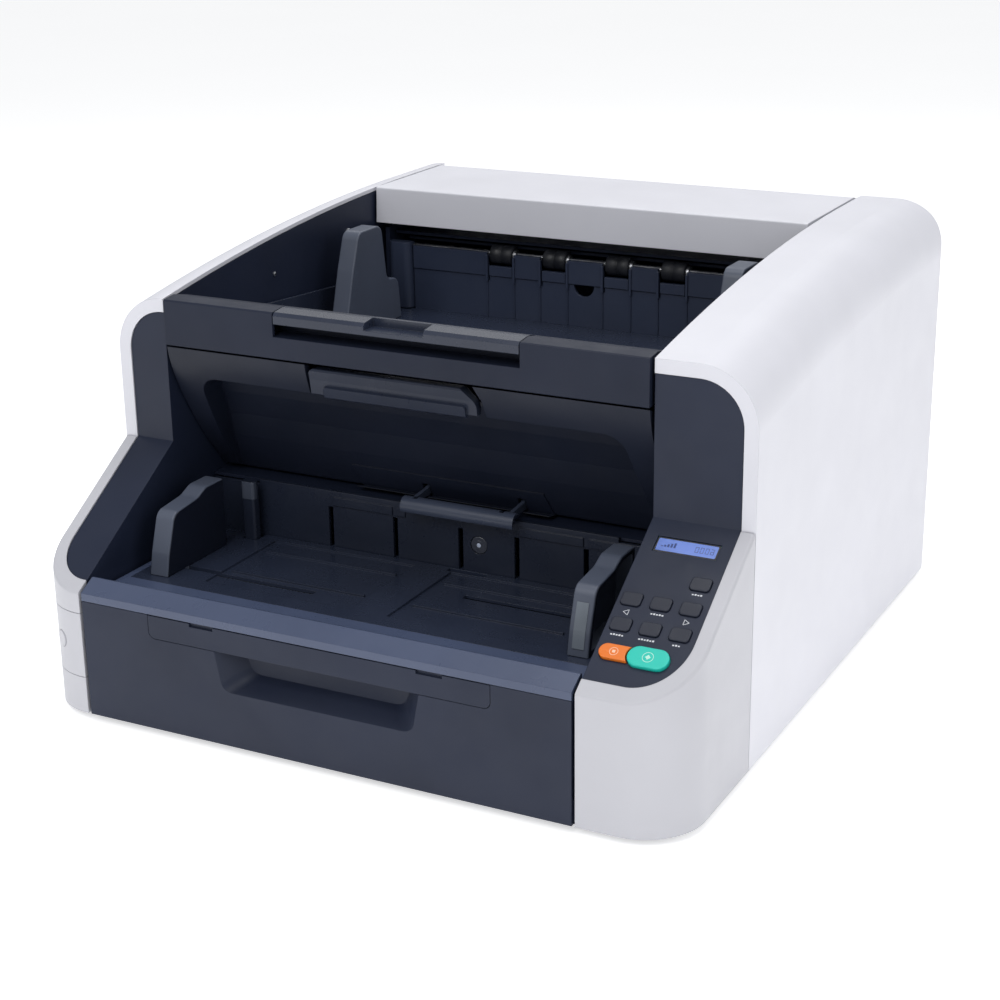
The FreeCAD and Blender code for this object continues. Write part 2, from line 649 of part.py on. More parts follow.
def input_tray():
    """Fixed frame of the feed tray: sloped lip, front ledge and side ledges."""
    x0, x1 = CX - UNIT, CX + UNIT
    lip = [(YF + 0.1, SEAM), (YF + 0.1, LIP_FRONT), (YF + LIP, LIP_BACK), (YF + LIP + 2.4, LIP_BACK - 0.6),
           (YF + LIP + 2.4, TRAY_TOP), (TABLE_FRONT, TRAY_TOP), (TABLE_FRONT, TRAY_TOP - SHEET),
           (YF + LIP - 0.4, TRAY_TOP - SHEET), (YF + LIP - 0.4, LIP_BACK - 3.6), (YF + WALL,
                                                                                  LIP_FRONT - 2.6),
           (YF + WALL, SEAM)]
    front = yz(lip, x0, x1)
    ledges = []
    for side in (-1, 1):
        edge = CX + side * UNIT
        inner = edge - side * 5.5
        ledges.append(box(min(edge, inner), max(edge, inner), TABLE_FRONT - 1, Y_WALL - GAP,
                          TRAY_TOP - SHEET, TRAY_TOP))
        ledges.append(box(min(edge, edge - side * 2.5), max(edge, edge - side * 2.5), YF + LIP,
                          Y_WALL - GAP,
                          60, TRAY_TOP - 1))
    rails = []
    for side in (-1, 1):
        a = CX + side * (FLAP_HALF_X - 8 + 0.6)
        b = a + side * 6
        rails.append(box(min(a, b), max(a, b), YF + 16, TABLE_FRONT, 76, TRAY_TOP - SHEET + 0.1))
    return join(front, *ledges, *rails)


def table_slots(neck_y, neck_w):
    """Slots for the guide necks, one in each half."""
    slots = []
    for side, y in ((-1, neck_y - PITCH_R - 5.0), (1, neck_y + PITCH_R + 5.0)):
        a = CX + side * (GUIDE_IN + 17)
        b = CX + side * (GUIDE_IN - TRAVEL - 1)
        slots.append((min(a, b), max(a, b), y - neck_w / 2 - 0.5, y + neck_w / 2 + 0.5))
    return slots


def lift_table():
    """Feed table that rises with the stack; the guides and their pinion ride on it."""
    x0, x1 = CX - UNIT + 6, CX + UNIT - 6
    y0, y1 = TABLE_FRONT + GAP, Y_WALL - 1.2
    plate = box(x0, x1, y0, y1, TRAY_TOP - 4, TRAY_TOP)
    pads = [box(CX + a, CX + b, TABLE_FRONT + 16, y1 - 8, TRAY_TOP - 1.6, TRAY_TOP + 1) for a, b in
            ((-132.5, -10), (20, 147))]
    ribs = [box(CX + a, CX + b, y - 1.1, y + 1.1, TRAY_TOP - 1.9, TRAY_TOP)
            for a, b in ((-127, -14), (26, 143)) for y in (Y_WALL - 75, Y_WALL - 30)]
    tabs = [box(CX + x - TAB_W / 2, CX + x + TAB_W / 2, y1 - 1, Y_WALL + 7, TRAY_TOP - 4, TRAY_TOP - 0.5)
            for x in SLOT_X]
    slots = [box(a, b, c, d, TRAY_TOP - 9, TRAY_TOP + 1) for a, b, c, d in table_slots(IN_PINION_Y, NECK)]
    well = box(CX + 16, CX + 47, y1 - 7, y1 - 1.5, TRAY_TOP - 9, TRAY_TOP + 2)
    pin = rod_z(CX, IN_PINION_Y, TRAY_TOP - 13, TRAY_TOP - 3.9, 3.0)
    apron = box(x0, x1, y0, y0 + 2.5, TRAY_TOP - 8, TRAY_TOP - 3.9)
    body = join(carve(plate, *pads), *ribs, *tabs, apron, pin)
    post_way = box(CX + POST_X - 1.2, CX + POST_X + POST_W + 1.2, Y_WALL - POST_OUT - 1.2, Y_WALL,
                   TRAY_TOP - 9, TRAY_TOP + 2)
    return carve(body, *slots, well, post_way)


def input_rear_wall():
    """Upright wall behind the stack with table slots, a sensor window and a corner post."""
    x0, x1 = CX - UNIT, CX + UNIT
    top = PATH - 2.4 - GAP
    wall = box(x0, x1, Y_WALL, Y_WALL + SHEET, 55, top)
    crown = box(CX - 150, CX + 150, Y_WALL, Y_WALL + SHEET, top - 1, PATH + 1.0)
    steps = [box(CX + a, CX + b, Y_WALL - 1.0, Y_WALL + 0.5, TRAY_TOP + LIFT + 3, top - 0.5) for a, b in
             ((-84, -33), (-29, -22), (72, 123), (127, 160))]
    slots = [box(CX + x - TAB_W / 2 - GAP, CX + x + TAB_W / 2 + GAP, Y_WALL - 3, Y_WALL + 5,
                 TRAY_TOP - 6, TRAY_TOP + LIFT + 1.5) for x in SLOT_X]
    window = rod_y(CX + 39, Y_WALL - 3, Y_WALL + 1.6, 115.5, 7.0)
    post_y = Y_WALL - POST_OUT
    post = round_edges(box(CX + POST_X, CX + POST_X + POST_W, post_y, post_y + 6.5, TRAY_TOP - 2,
                           141), 2.0,
                       lambda b: upright(b) and b.YMin < post_y + 1)
    arm = box(CX + POST_X, CX + POST_X + 5, post_y + 6.4, Y_WALL + 0.1, TRAY_TOP - 2, 132)
    flange = box(x0, x1, Y_WALL + SHEET - 0.1, Y_WALL + 14, 55, 57.5)
    return carve(join(wall, crown, *steps, post, arm, flange), *slots, window)


# ---- guides with racks --------------------------------------------------------
def involute(alpha):
    return math.tan(alpha) - alpha


def pinion(x, y, z0, z1, bore):
    """Spur pinion on a vertical axis with thinned teeth."""
    alpha = math.radians(20)
    base = PITCH_R * math.cos(alpha)
    tip = PITCH_R + 0.85 * MODULE
    root = PITCH_R - 1.25 * MODULE
    half = math.pi / (2 * TEETH) - 0.22 / PITCH_R
    flank = []
    steps = 5
    for i in range(steps):
        r = base + (tip - base) * i / (steps - 1)
        turn = half + involute(alpha) - involute(math.acos(base / r))
        flank.append((r, turn))
    outline = [(root, -flank[0][1])] + [(r, -t) for r, t in flank]
    outline += [(r, t) for r, t in reversed(flank)] + [(root, flank[0][1])]
    points = []
    for k in range(TEETH):
        at = 2 * math.pi * k / TEETH
        points += [(x + r * math.cos(at + t), y + r * math.sin(at + t)) for r, t in outline]
    return xy(points, z0, z1).cut(rod_z(x, y, z0 - 1, z1 + 1, bore))


def rack(x0, x1, y_pitch, side, z0, z1, x_mesh):
    """Toothed bar along X; its teeth point to -side, and a gap stands at x_mesh."""
    step = math.pi * MODULE
    lean = math.tan(math.radians(20))
    add = 0.85 * MODULE
    ded = 1.25 * MODULE
    half = step / 4 - 0.22
    back = y_pitch + side * (ded + 5.0)
    points = [(x0, back), (x0, y_pitch + side * ded)]
    first = math.ceil((x0 + step - x_mesh) / step - 0.5)
    last = math.floor((x1 - step - x_mesh) / step - 0.5)
    for k in range(first, last + 1):
        c = x_mesh + (k + 0.5) * step
        points += [(c - half - ded * lean, y_pitch + side * ded),
                   (c - half + add * lean, y_pitch - side * add),
                   (c + half - add * lean, y_pitch - side * add),
                   (c + half + ded * lean, y_pitch + side * ded)]
    points += [(x1, y_pitch + side * ded), (x1, back)]
    return xy(points, z0, z1)


def guide(side, inner, outline, thick, neck_y, neck_z, rack_h):
    """Paper guide: hollow fin, neck through the tray floor, and toothed rack."""
    face = CX + side * inner
    outer = face + side * thick
    fin = rounded_yz(outline, min(face, outer), max(face, outer))
    fin = round_edges(fin, 1.2, lambda b: b.XLength < 0.01 and b.ZMax > b.ZMin + 0.1
                      and b.ZMax > outline[0][1] + 6)
    hollow = fin.copy()
    shrink = FreeCAD.Matrix()
    b = fin.BoundBox
    shrink.scale(1.0, (b.YLength - 9.0) / b.YLength, (b.ZLength - 7.0) / b.ZLength)
    hollow.translate(vec(0, -(b.YMin + b.YMax) / 2 - 1.5, -(b.ZMin + b.ZMax) / 2))
    hollow = hollow.transformGeometry(shrink)
    hollow.translate(vec(side * 3.0, (b.YMin + b.YMax) / 2 + 1.5, (b.ZMin + b.ZMax) / 2))
    y_pitch = neck_y + side * PITCH_R
    y_neck = neck_y + side * (PITCH_R + 5.0)
    neck = box(min(face, outer), max(face, outer), y_neck - NECK / 2, y_neck + NECK / 2, rack_h[0], neck_z)
    far = CX - side * 22
    bar = rack(min(outer, far), max(outer, far), y_pitch, side, rack_h[0], rack_h[1], CX)
    return join(fin.cut(hollow), neck, bar)


def input_guide(side):
    y0 = YF + 59.6
    outline = [(y0, TRAY_TOP + GAP, 0), (y0 + 3.5, 112, 14), (y0 + 13, 140.5, 9), (y0 + 42, 143.5, 14),
               (y0 + 54, 148.6, 12), (y0 + 76, 148.6, 2), (y0 + 76, TRAY_TOP + GAP, 0)]
    rack_h = (TRAY_TOP - 11.0, TRAY_TOP - 4.4)
    return guide(side, GUIDE_IN, outline, 15.5, IN_PINION_Y, TRAY_TOP + 2.5, rack_h)


def output_guide(side):
    z0 = OUT_FLOOR + GAP
    outline = [(36, z0, 0), (52, z0 + 54, 40), (63, 296.5, 9), (99, 296.5, 9), (106, 249, 7),
               (124, 247, 9), (128, z0, 0)]
    rack_h = (OUT_FLOOR - 10.0, OUT_FLOOR - SHEET - GAP)
    return guide(side, OUT_GUIDE_IN, outline, 15.5, OUT_PINION_Y, z0 + 2.5, rack_h)


# ---- paper path ----------------------------------------------------------------


def turn_arc(radius, a0, a1):
    """Arc of the rear turn about its centre; angles in degrees from +Y towards +Z."""
    def at(a):
        t = math.radians(a)
        return vec(0, TURN_Y + radius * math.cos(t), TURN_Z + radius * math.sin(t))
    return at(a0), at((a0 + a1) / 2), at(a1)


def turn_shell(r0, r1, a0, a1, x0, x1):
    outer = turn_arc(r1, a0, a1)
    inner = turn_arc(r0, a0, a1)
    edges = [Part.Arc(*outer).toShape(), Part.makeLine(outer[2], inner[2]),
             Part.Arc(inner[2], inner[1], inner[0]).toShape(), Part.makeLine(inner[0], outer[0])]
    shell = Part.Face(Part.Wire(edges)).extrude(vec(x1 - x0, 0, 0))
    shell.translate(vec(x0, 0, 0))
    return shell


def roller_slots(y, r):
    return [box(CX + x - 13, CX + x + 13, y - r, y + r, PATH - 10, PATH + 10) for x in (-110, -55,
                                                                                        55, 110)]


def lower_paper_guide():
    """Floor of the paper path and the lower half of the rear turn."""
    x0, x1 = IN_L + 0.4, IN_R - 0.4
    y0 = Y_WALL + SHEET + 1.0
    floor = box(x0, x1, y0, TURN_Y, PATH - 2.4, PATH)
    turn = turn_shell(TURN + PATH_GAP / 2, TURN + PATH_GAP / 2 + 2.4, -90, -8, CX - PATH_HALF,
                      CX + PATH_HALF)
    ribs = [box(CX + x - 1, CX + x + 1, 100, TURN_Y, PATH - 14, PATH - 2.3) for x in (-160, -80, 0,
                                                                                      80, 160)]
    cuts = roller_slots(TRANS_Y, 9)
    cuts.append(box(CX + FEED_SIDE - 30, CX + FEED_SIDE + 30, RETARD_Y - 10, RETARD_Y + 10,
                    PATH - 9, PATH + 9))
    cuts.append(box(CX - 164, CX + 164, CAM_LOW_Y - GLASS_W / 2, CAM_LOW_Y + GLASS_W / 2, PATH - 9,
                    PATH + 9))
    return carve(join(floor, turn, *ribs), *cuts)


def turn_guide():
    """Upper half of the rear turn; it lifts with the unit."""
    x0, x1 = CX - UNIT + 8.5, CX + UNIT - 8.5
    shell = turn_shell(TURN + PATH_GAP / 2, TURN + PATH_GAP / 2 + 2.4, -4, 90, x0, x1)
    z0 = TURN_Z + TURN + PATH_GAP / 2
    lead = box(x0, x1, EXIT_WALL + 8, TURN_Y + 0.1, z0, z0 + 2.4)
    return join(shell, lead)


def unit_frame():
    """Chassis of the lifting unit: two side plates joined by the inner paper guide."""
    x0, x1 = CX - UNIT + 4.2, CX + UNIT - 4.2
    r = TURN - PATH_GAP / 2
    z0 = PATH + PATH_GAP
    floor = box(x0, x1, Y_WALL + 34, TURN_Y, z0, z0 + 2.4)
    turn = turn_shell(r - 2.4, r, -90, 90, CX - PATH_HALF, CX + PATH_HALF)
    roof = box(CX - PATH_HALF, CX + PATH_HALF, TURN_Y - 9, TURN_Y, TURN_Z + r - 2.4, TURN_Z + r)
    plates = []
    for side in (-1, 1):
        a = CX + side * (UNIT - 4.2)
        b = a - side * 4.0
        under = OUT_FLOOR - SHEET - GAP
        outline = [(Y_BEAM + 34, 212), (Y_WALL + 26, z0), (TURN_Y + 30, z0), (TURN_Y + 52, z0 + 32),
                   (HY - 8, HZ - 60), (HY + 6, HZ - 6), (HY + 5, HZ + 7), (EXIT_WALL + 4, HZ + 7),
                   (EXIT_WALL + 4, 281), (EXIT_WALL - 2, 281), (EXIT_WALL - 2, 236), (EXIT_WALL + 3, 234),
                   (EXIT_WALL + 3, under),
                   (EXIT_WALL - OUT_LEVEL, under), (Y_BEAM + 34, tray_under(Y_BEAM + 34) - GAP)]
        plate = yz(outline, min(a, b), max(a, b))
        plates.append(plate.cut(rod_x(a - 6, a + 6, HY, HZ, HINGE_PIN + RUN)))
    cuts = [box(CX - 164, CX + 164, CAM_UP_Y - GLASS_W / 2, CAM_UP_Y + GLASS_W / 2, z0 - 9, z0 + 9)]
    frame = carve(join(floor, turn, roof, *plates), *cuts)
    arm_hole = box(CX + FEED_SIDE - 48, CX + FEED_SIDE + 48, Y_WALL + 30, Y_WALL + 58, z0 - 2, z0 + 4)
    shaft_holes = [rod_x(CX - 400, CX + 400, FEED_Y, FEED_Z, 4.0 + RUN),
                   rod_x(CX - 400, CX + 400, EXIT_Y, EXIT_AXIS, 3.0 + RUN),
                   rod_x(CX - 400, CX + 400, LATCH_Y, LATCH_Z, 3.0 + RUN)]
    bearing = box(CX - UNIT + 8.2, CX + UNIT - 8.2, -400, 400, 0, 400)
    return carve(frame, arm_hole, *[h.cut(bearing) for h in shaft_holes])


def camera_unit(y, z0, z1, upper):
    """Scanning head: a long housing that is open towards its glass."""
    body = box(CX - 160, CX + 160, y - 14, y + 14, z0, z1)
    slot = box(CX - 155, CX + 155, y - 9, y + 9, z1 - 9, z1 + 1) if not upper else \
        box(CX - 155, CX + 155, y - 9, y + 9, z0 - 1, z0 + 9)
    body = body.cut(slot)
    fins = [box(CX + x - 1, CX + x + 1, y - 14, y + 14, z0 - 4, z0 + 0.1) if not upper else
            box(CX + x - 1, CX + x + 1, y - 14, y + 14, z1 - 0.1, z1 + 4) for x in range(-140, 141, 20)]
    return join(body, *fins)


def glass_strip(y, z0, z1):
    return box(CX - 163.6, CX + 163.6, y - GLASS_W / 2 + GAP, y + GLASS_W / 2 - GAP, z0, z1)


def transport_roller():
    shaft = rod_x(IN_L - FRAME_OFF - PLATE - 3, IN_R + FRAME_OFF + PLATE + 14, TRANS_Y, TRANS_Z, 4.0)
    grips = [rod_x(CX + x - 12, CX + x + 12, TRANS_Y, TRANS_Z, TRANS_R) for x in (-110, -55, 55, 110)]
    wheel = rod_x(BELT_X - 4, BELT_X + 4, TRANS_Y, TRANS_Z, 14.0)
    groove = tube_x(BELT_X - 3.2, BELT_X + 3.2, TRANS_Y, TRANS_Z, 15, 12.6)
    return join(shaft, *grips, carve(wheel, groove))


def retard_roller():
    x = CX + FEED_SIDE
    shaft = rod_x(IN_L - FRAME_OFF - PLATE - 3, x + 34, RETARD_Y, RETARD_Z, 4.0)
    return join(shaft, rod_x(x - 24, x + 24, RETARD_Y, RETARD_Z, RETARD_R))


def feed_roller():
    x = CX + FEED_SIDE
    shaft = rod_x(CX - UNIT + 3.0, CX + UNIT - 3.0, FEED_Y, FEED_Z, 4.0)
    return join(shaft, rod_x(x - 24, x + 24, FEED_Y, FEED_Z, FEED_R))


def pickup_arm():
    """Arm that swings about the feed shaft and hides the pickup roller."""
    x = CX + FEED_SIDE
    cheeks = []
    for side in (-1, 1):
        a = x + side * 38
        b = x + side * 41
        lo, hi = min(a, b), max(a, b)
        link = yz([(PICK_Y - 5.2, PICK_Z - 1.5), (PICK_Y - 2, PICK_Z - 4.4), (PICK_Y + 3, PICK_Z - 4.4),
                   (Y_WALL - 1, PATH + 3.4), (FEED_Y + 8, PATH + 4.4), (FEED_Y + 8, FEED_Z + 8),
                   (FEED_Y - 8, FEED_Z + 5), (Y_WALL + 16, PATH + 9.5), (PICK_Y + 3, PICK_Z + 5.6),
                   (PICK_Y - 3, PICK_Z + 4.8)], lo, hi)
        cheeks.append(link.cut(rod_x(lo - 1, hi + 1, FEED_Y, FEED_Z, 4.0 + RUN)))
    hood = tube_x(x - 46.0, x + 46.0, PICK_Y, PICK_Z, PICK_R + 2.0, PICK_R + 0.7)
    keep = box(-400, 400, PICK_Y - 40, PICK_Y + 4.6, PICK_Z - 3.0, PICK_Z + 40)
    nicks = [box(x + a, x + a + 3.5, PICK_Y - 2, PICK_Y + 6, PICK_Z + 4, PICK_Z + 9) for a in (-38, 33)]
    shaft_bore = rod_x(x - 60, x + 60, PICK_Y, PICK_Z, PICK_SHAFT + RUN)
    return carve(join(cheeks[0], cheeks[1], hood.common(keep)), shaft_bore, *nicks)


def pickup_roller():
    x = CX + FEED_SIDE
    shaft = rod_x(x - 42, x + 42, PICK_Y, PICK_Z, PICK_SHAFT)
    grips = [rod_x(x + s * 16 - 9, x + s * 16 + 9, PICK_Y, PICK_Z, PICK_R) for s in (-1, 1)]
    return join(shaft, *grips)


def drive_motor():
    """Stepper motor on the inside of the right side frame."""
    face = IN_R + FRAME_OFF
    can = box(face - 48, face - 0.3, MOTOR_Y - 21, MOTOR_Y + 21, MOTOR_Z - 21, MOTOR_Z + 21)
    can = round_edges(can, 4.0, along_x)
    boss = rod_x(face - 1, face + PLATE - 0.2, MOTOR_Y, MOTOR_Z, 11.0)
    bore = rod_x(face - 12, face + PLATE + 1, MOTOR_Y, MOTOR_Z, 2.5 + RUN)
    return carve(join(can, boss), bore)


def motor_pulley():
    face = IN_R + FRAME_OFF
    shaft = rod_x(face - 11, BELT_X + 4.5, MOTOR_Y, MOTOR_Z, 2.5)
    wheel = rod_x(BELT_X - 4, BELT_X + 4, MOTOR_Y, MOTOR_Z, 8.0)
    groove = tube_x(BELT_X - 3.2, BELT_X + 3.2, MOTOR_Y, MOTOR_Z, 9, 6.6)
    return join(shaft, carve(wheel, groove))


def drive_belt():
    """Flat loop from the motor pulley to the transport roller."""
    def loop(r_a, r_b, x0, x1):
        dy, dz = TRANS_Y - MOTOR_Y, TRANS_Z - MOTOR_Z
        span = math.hypot(dy, dz)
        lean = math.atan2(dz, dy)
        spread = math.acos((r_a - r_b) / span)
        pts = []
        for sign in (1, -1):
            a = lean + sign * spread
            pts.append([(MOTOR_Y + r_a * math.cos(a), MOTOR_Z + r_a * math.sin(a)),
                        (TRANS_Y + r_b * math.cos(a), TRANS_Z + r_b * math.sin(a))])
        middle = yz([pts[0][0], pts[0][1], pts[1][1], pts[1][0]], x0, x1)
        return middle.fuse([rod_x(x0, x1, MOTOR_Y, MOTOR_Z, r_a), rod_x(x0, x1, TRANS_Y, TRANS_Z, r_b)])
    outer = loop(6.9 + 1.5, 12.9 + 1.5, BELT_X - 2.8, BELT_X + 2.8)
    inner = loop(6.9, 12.9, BELT_X - 4, BELT_X + 4)
    return outer.cut(inner)


# ---- lifting unit ---------------------------------------------------------------
def unit_beam():
    """Front beam of the unit with the window for the stop flap."""
    x0, x1 = CX - UNIT, CX + UNIT
    y0, y1 = Y_BEAM, Y_BEAM + BEAM_DEPTH
    outline = [(y0, BEAM_LOW), (y0, BEAM_TOP - 0.9), (y0 + 1.2, BEAM_TOP), (y0 + 13.2, BEAM_TOP + 1.1),
               (y1, BEAM_TOP - 2.0), (y1, BEAM_LOW)]
    block = yz(outline, x0, x1)
    hollow = box(x0 + WALL, x1 - WALL, y0 + WALL, y1 - WALL, BEAM_LOW - 1, BEAM_TOP - 4)
    window = box(CX - FLAP_HALF - GAP, CX + FLAP_HALF + GAP, y0 - 1, y1 - WALL, BAR_LOW, BEAM_TOP + 9)
    shelf = box(CX - FLAP_HALF - 6, CX + FLAP_HALF + 6, y0 + 1, y1 - 1, BAR_LOW - WALL, BAR_LOW)
    back = box(CX - FLAP_HALF - 6, CX + FLAP_HALF + 6, y0 + 19, y0 + 21.5, BAR_LOW - WALL, BEAM_TOP - 2)
    pins = []
    for side in (-1, 1):
        a = CX + side * (FLAP_HALF + 2)
        b = CX + side * (FLAP_HALF - 5)
        pins.append(rod_x(min(a, b), max(a, b), FLAP_Y, FLAP_Z, 1.8))
    stay = [(y0 + 14, BEAM_LOW + 4), (y1 - 1, BEAM_LOW + 4), (y1 - 1, BEAM_LOW - 10.5),
            (y1 + 10, BEAM_LOW - 13),
            (y1 + 10, BEAM_LOW - 19), (y0 + 14, BEAM_LOW - 12)]
    stays = [yz(stay, x - 2, x + 2) for x in (x0 + 10.6, x1 - 10.6)]
    return join(carve(block, hollow, window), shelf, back, *pins, *stays)


def stopper_flap():
    """Leaf in the top of the beam that swings up to stop the sheets."""
    x0, x1 = CX - FLAP_HALF + GAP, CX + FLAP_HALF - GAP
    y0 = Y_BEAM
    outline = [(y0, FLAP_LOW), (y0, BEAM_TOP - 2.4), (y0 + 2.0, BEAM_TOP), (y0 + 13.2, BEAM_TOP + 1.1),
               (y0 + 18.4, BEAM_TOP + 0.6), (y0 + 18.4, BEAM_TOP - 2.6), (y0 + 10, FLAP_LOW)]
    leaf = yz(outline, x0, x1)
    notch = box(CX - 23, CX + 24.5, y0 - 1, y0 + 14, FLAP_LOW + 3.4, BEAM_TOP + 9)
    bores = [rod_x(CX + s * (FLAP_HALF - 5.4) - 6, CX + s * (FLAP_HALF - 5.4) + 6, FLAP_Y, FLAP_Z,
                   1.8 + RUN)
             for s in (-1, 1)]
    return carve(leaf, notch, *bores)


def fascia_points(inset):
    """Side view of the fascia from under the beam to its lower edge."""
    y0 = Y_BEAM + 1.0
    drops = [(0.0, 250.9), (5.0, 232.1), (13.4, 214.1), (25.8, 192.7), (40.1, 171.5), (52.1, 156.6),
             (64.0, 142.2)]
    return [(y0 + dy + inset, z - inset * 0.35) for dy, z in drops]


def fascia_sheet(front, back, x0, x1):
    """Curved sheet between two offsets of the fascia line."""
    a = [vec(x0, y, z) for y, z in fascia_points(front)]
    b = [vec(x0, y, z) for y, z in fascia_points(back)]
    curve_a = Part.BSplineCurve()
    curve_a.interpolate(a)
    curve_b = Part.BSplineCurve()
    curve_b.interpolate(b)
    wire = Part.Wire([curve_a.toShape(), Part.makeLine(a[-1], b[-1]), curve_b.toShape(),
                      Part.makeLine(b[0], a[0])])
    return Part.Face(wire).extrude(vec(x1 - x0, 0, 0))


def pocket_outline(grow):
    """Front view of the pocket, wider towards its lower edge."""
    return [(CX - 170 - grow, 228 + grow), (CX + 170 + grow, 228 + grow), (CX + 180 + grow, 130),
            (CX - 180 - grow, 130)]


def pocket_space(grow):
    """Deep scoop behind the fascia's front, shallower towards its lower edge."""
    depths = [(31.8, 232.0), (39.3, 210.0), (48.8, 190.0), (55.8, 170.0), (62.4, 155.0), (69.6, 140.0)]
    floor = [(Y_BEAM + dy, z) for dy, z in depths]
    front = [(y - 6, z) for y, z in reversed(fascia_points(0.0))]
    side = yz([(y + grow, z - grow * 0.3) for y, z in floor] + front, CX - UNIT, CX + UNIT)
    mask = xz(pocket_outline(grow), YF, YR)
    mask = round_edges(mask, 16.0 + grow, lambda b: b.YLength > 100 and b.ZMin > 200)
    return side.common(mask)


def unit_fascia():
    """Curved dark cover below the beam with its wide scooped pocket."""
    x0, x1 = CX - UNIT, CX + UNIT
    sheet = fascia_sheet(0.0, 7.0, x0, x1)
    behind = fascia_sheet(0.5, 60.0, x0, x1)
    tub = pocket_space(3.0).common(behind).common(box(-400, 400, YF, YR, 142.4, 240))
    lip = xz([(CX - 74, 158.5), (CX + 86, 158.5), (CX + 94, 130), (CX - 66, 130)], YF, YR)
    lip = lip.common(pocket_space(0.0)).cut(pocket_space(-1.3))
    outline = [(CX + HANDLE_L - 2.5, 220), (CX + HANDLE_L - 2.5, 262), (CX + HANDLE_R - 8, 262),
               (CX + HANDLE_R + 4.5, 240), (CX + HANDLE_R + 6.5, 220)]
    handle_gap = round_edges(xz(outline, YF, Y_BEAM + 30), 12.0,
                             lambda b: b.YLength > 100 and b.XMin > 0 and 235 < b.ZMin < 250)
    handle_gap = handle_gap.common(box(-400, 400, YF, YR, HANDLE_LOW - 3.6, 262))
    returns = []
    for side in (-1, 1):
        edge = CX + side * UNIT
        inner = edge - side * 3.9
        deep = fascia_sheet(3.0, 12.0, min(edge, inner), max(edge, inner))
        slim = fascia_sheet(3.0, 8.4, min(edge, inner), max(edge, inner))
        returns.append(deep.common(box(-400, 400, YF, YR, 208, 400)))
        returns.append(slim.common(box(-400, 400, YF, YR, 142.5, 209)))
    link_ways = [box(CX + FEED_SIDE + side * 39.5 - 3, CX + FEED_SIDE + side * 39.5 + 3, YF, YR,
                     100, PATH + 13)
                 for side in (-1, 1)]
    reach = math.hypot(CATCH_Y - HY, CATCH_Z - HZ) + CATCH_R + STUD_CLEAR
    stud_ways = [rod_x(min(edge, edge - side * 4.2), max(edge, edge - side * 4.2), HY, HZ, reach)
                 for side, edge in ((-1, CX - UNIT - 0.1), (1, CX + UNIT + 0.1))]
    shell = join(carve(join(sheet, tub), pocket_space(0.0)), lip, *returns)
    return carve(shell, handle_gap, *link_ways, *stud_ways)


def latch_handle():
    """Lift lever in the fascia with its grip ridge."""
    y0 = Y_BEAM + 1.4
    x0, x1 = CX + HANDLE_L, CX + HANDLE_R
    plate = yz([(y0, HANDLE_TOP - 1.4), (y0 + 1.2, HANDLE_TOP), (y0 + 9, HANDLE_TOP), (y0 + 9, HANDLE_LOW),
                (y0 + 3.4, HANDLE_LOW), (y0 + 1.6, 240)], x0, x1)
    front = xz([(x0, HANDLE_LOW - 5), (x0, HANDLE_TOP + 0.5), (x1 - 12, HANDLE_TOP + 0.5),
                (x1, 238), (x1 + 0.2, HANDLE_LOW - 5)], YF, YR)
    front = round_edges(front, 9.0, lambda b: b.YLength > 100 and b.ZMin > 236 and b.XMin > 0)
    front = round_edges(front, 5.0, lambda b: b.YLength > 100 and b.ZMin > 236 and b.XMax < 0)
    plate = plate.common(front)
    grip = yz([(y0 - 0.6, 235.5), (y0 + 3.0, 236.8), (y0 + 6, 231), (y0 + 4, 226.6), (y0 + 1.6, 227.8)],
              x0 + 12, x1 - 8)
    grip = round_edges(grip, 2.0, lambda b: b.XLength < 0.01 and b.YLength > 3 and b.ZMin > 234)
    stem = yz([(y0 + 8.9, HANDLE_TOP - 6), (y0 + 8.9, HANDLE_LOW + 2), (LATCH_Y - 9, HANDLE_LOW + 2),
               (LATCH_Y - 4, LATCH_Z - 6), (LATCH_Y + 6, LATCH_Z - 5), (LATCH_Y + 7, LATCH_Z + 6),
               (LATCH_Y - 5, LATCH_Z + 8)], CX - 16, CX + 8)
    return join(plate, grip, stem).cut(rod_x(CX - 60, CX + 60, LATCH_Y, LATCH_Z, 3.0))


def latch_hooks():
    """Cross shaft with a hook at each end."""
    shaft = rod_x(CX - UNIT + 1, CX + UNIT - 1, LATCH_Y, LATCH_Z, 3.0)
    hooks = []
    for side in (-1, 1):
        a = CX + side * (UNIT - 0.4)
        b = CX + side * (UNIT - 3.8)
        foot = CATCH_Z - CATCH_R - 0.6
        tip = CATCH_Y - CATCH_R - 0.6
        outline = [(LATCH_Y - 7, LATCH_Z + 6), (LATCH_Y + 6, LATCH_Z + 6), (LATCH_Y + 6, LATCH_Z - 6),
                   (tip - 2.5, CATCH_Z + 6), (tip - 2.5, foot), (tip, foot), (tip, foot - 4),
                   (LATCH_Y - 7, foot - 4)]
        hooks.append(yz(outline, min(a, b), max(a, b)))
    return join(shaft, *hooks)


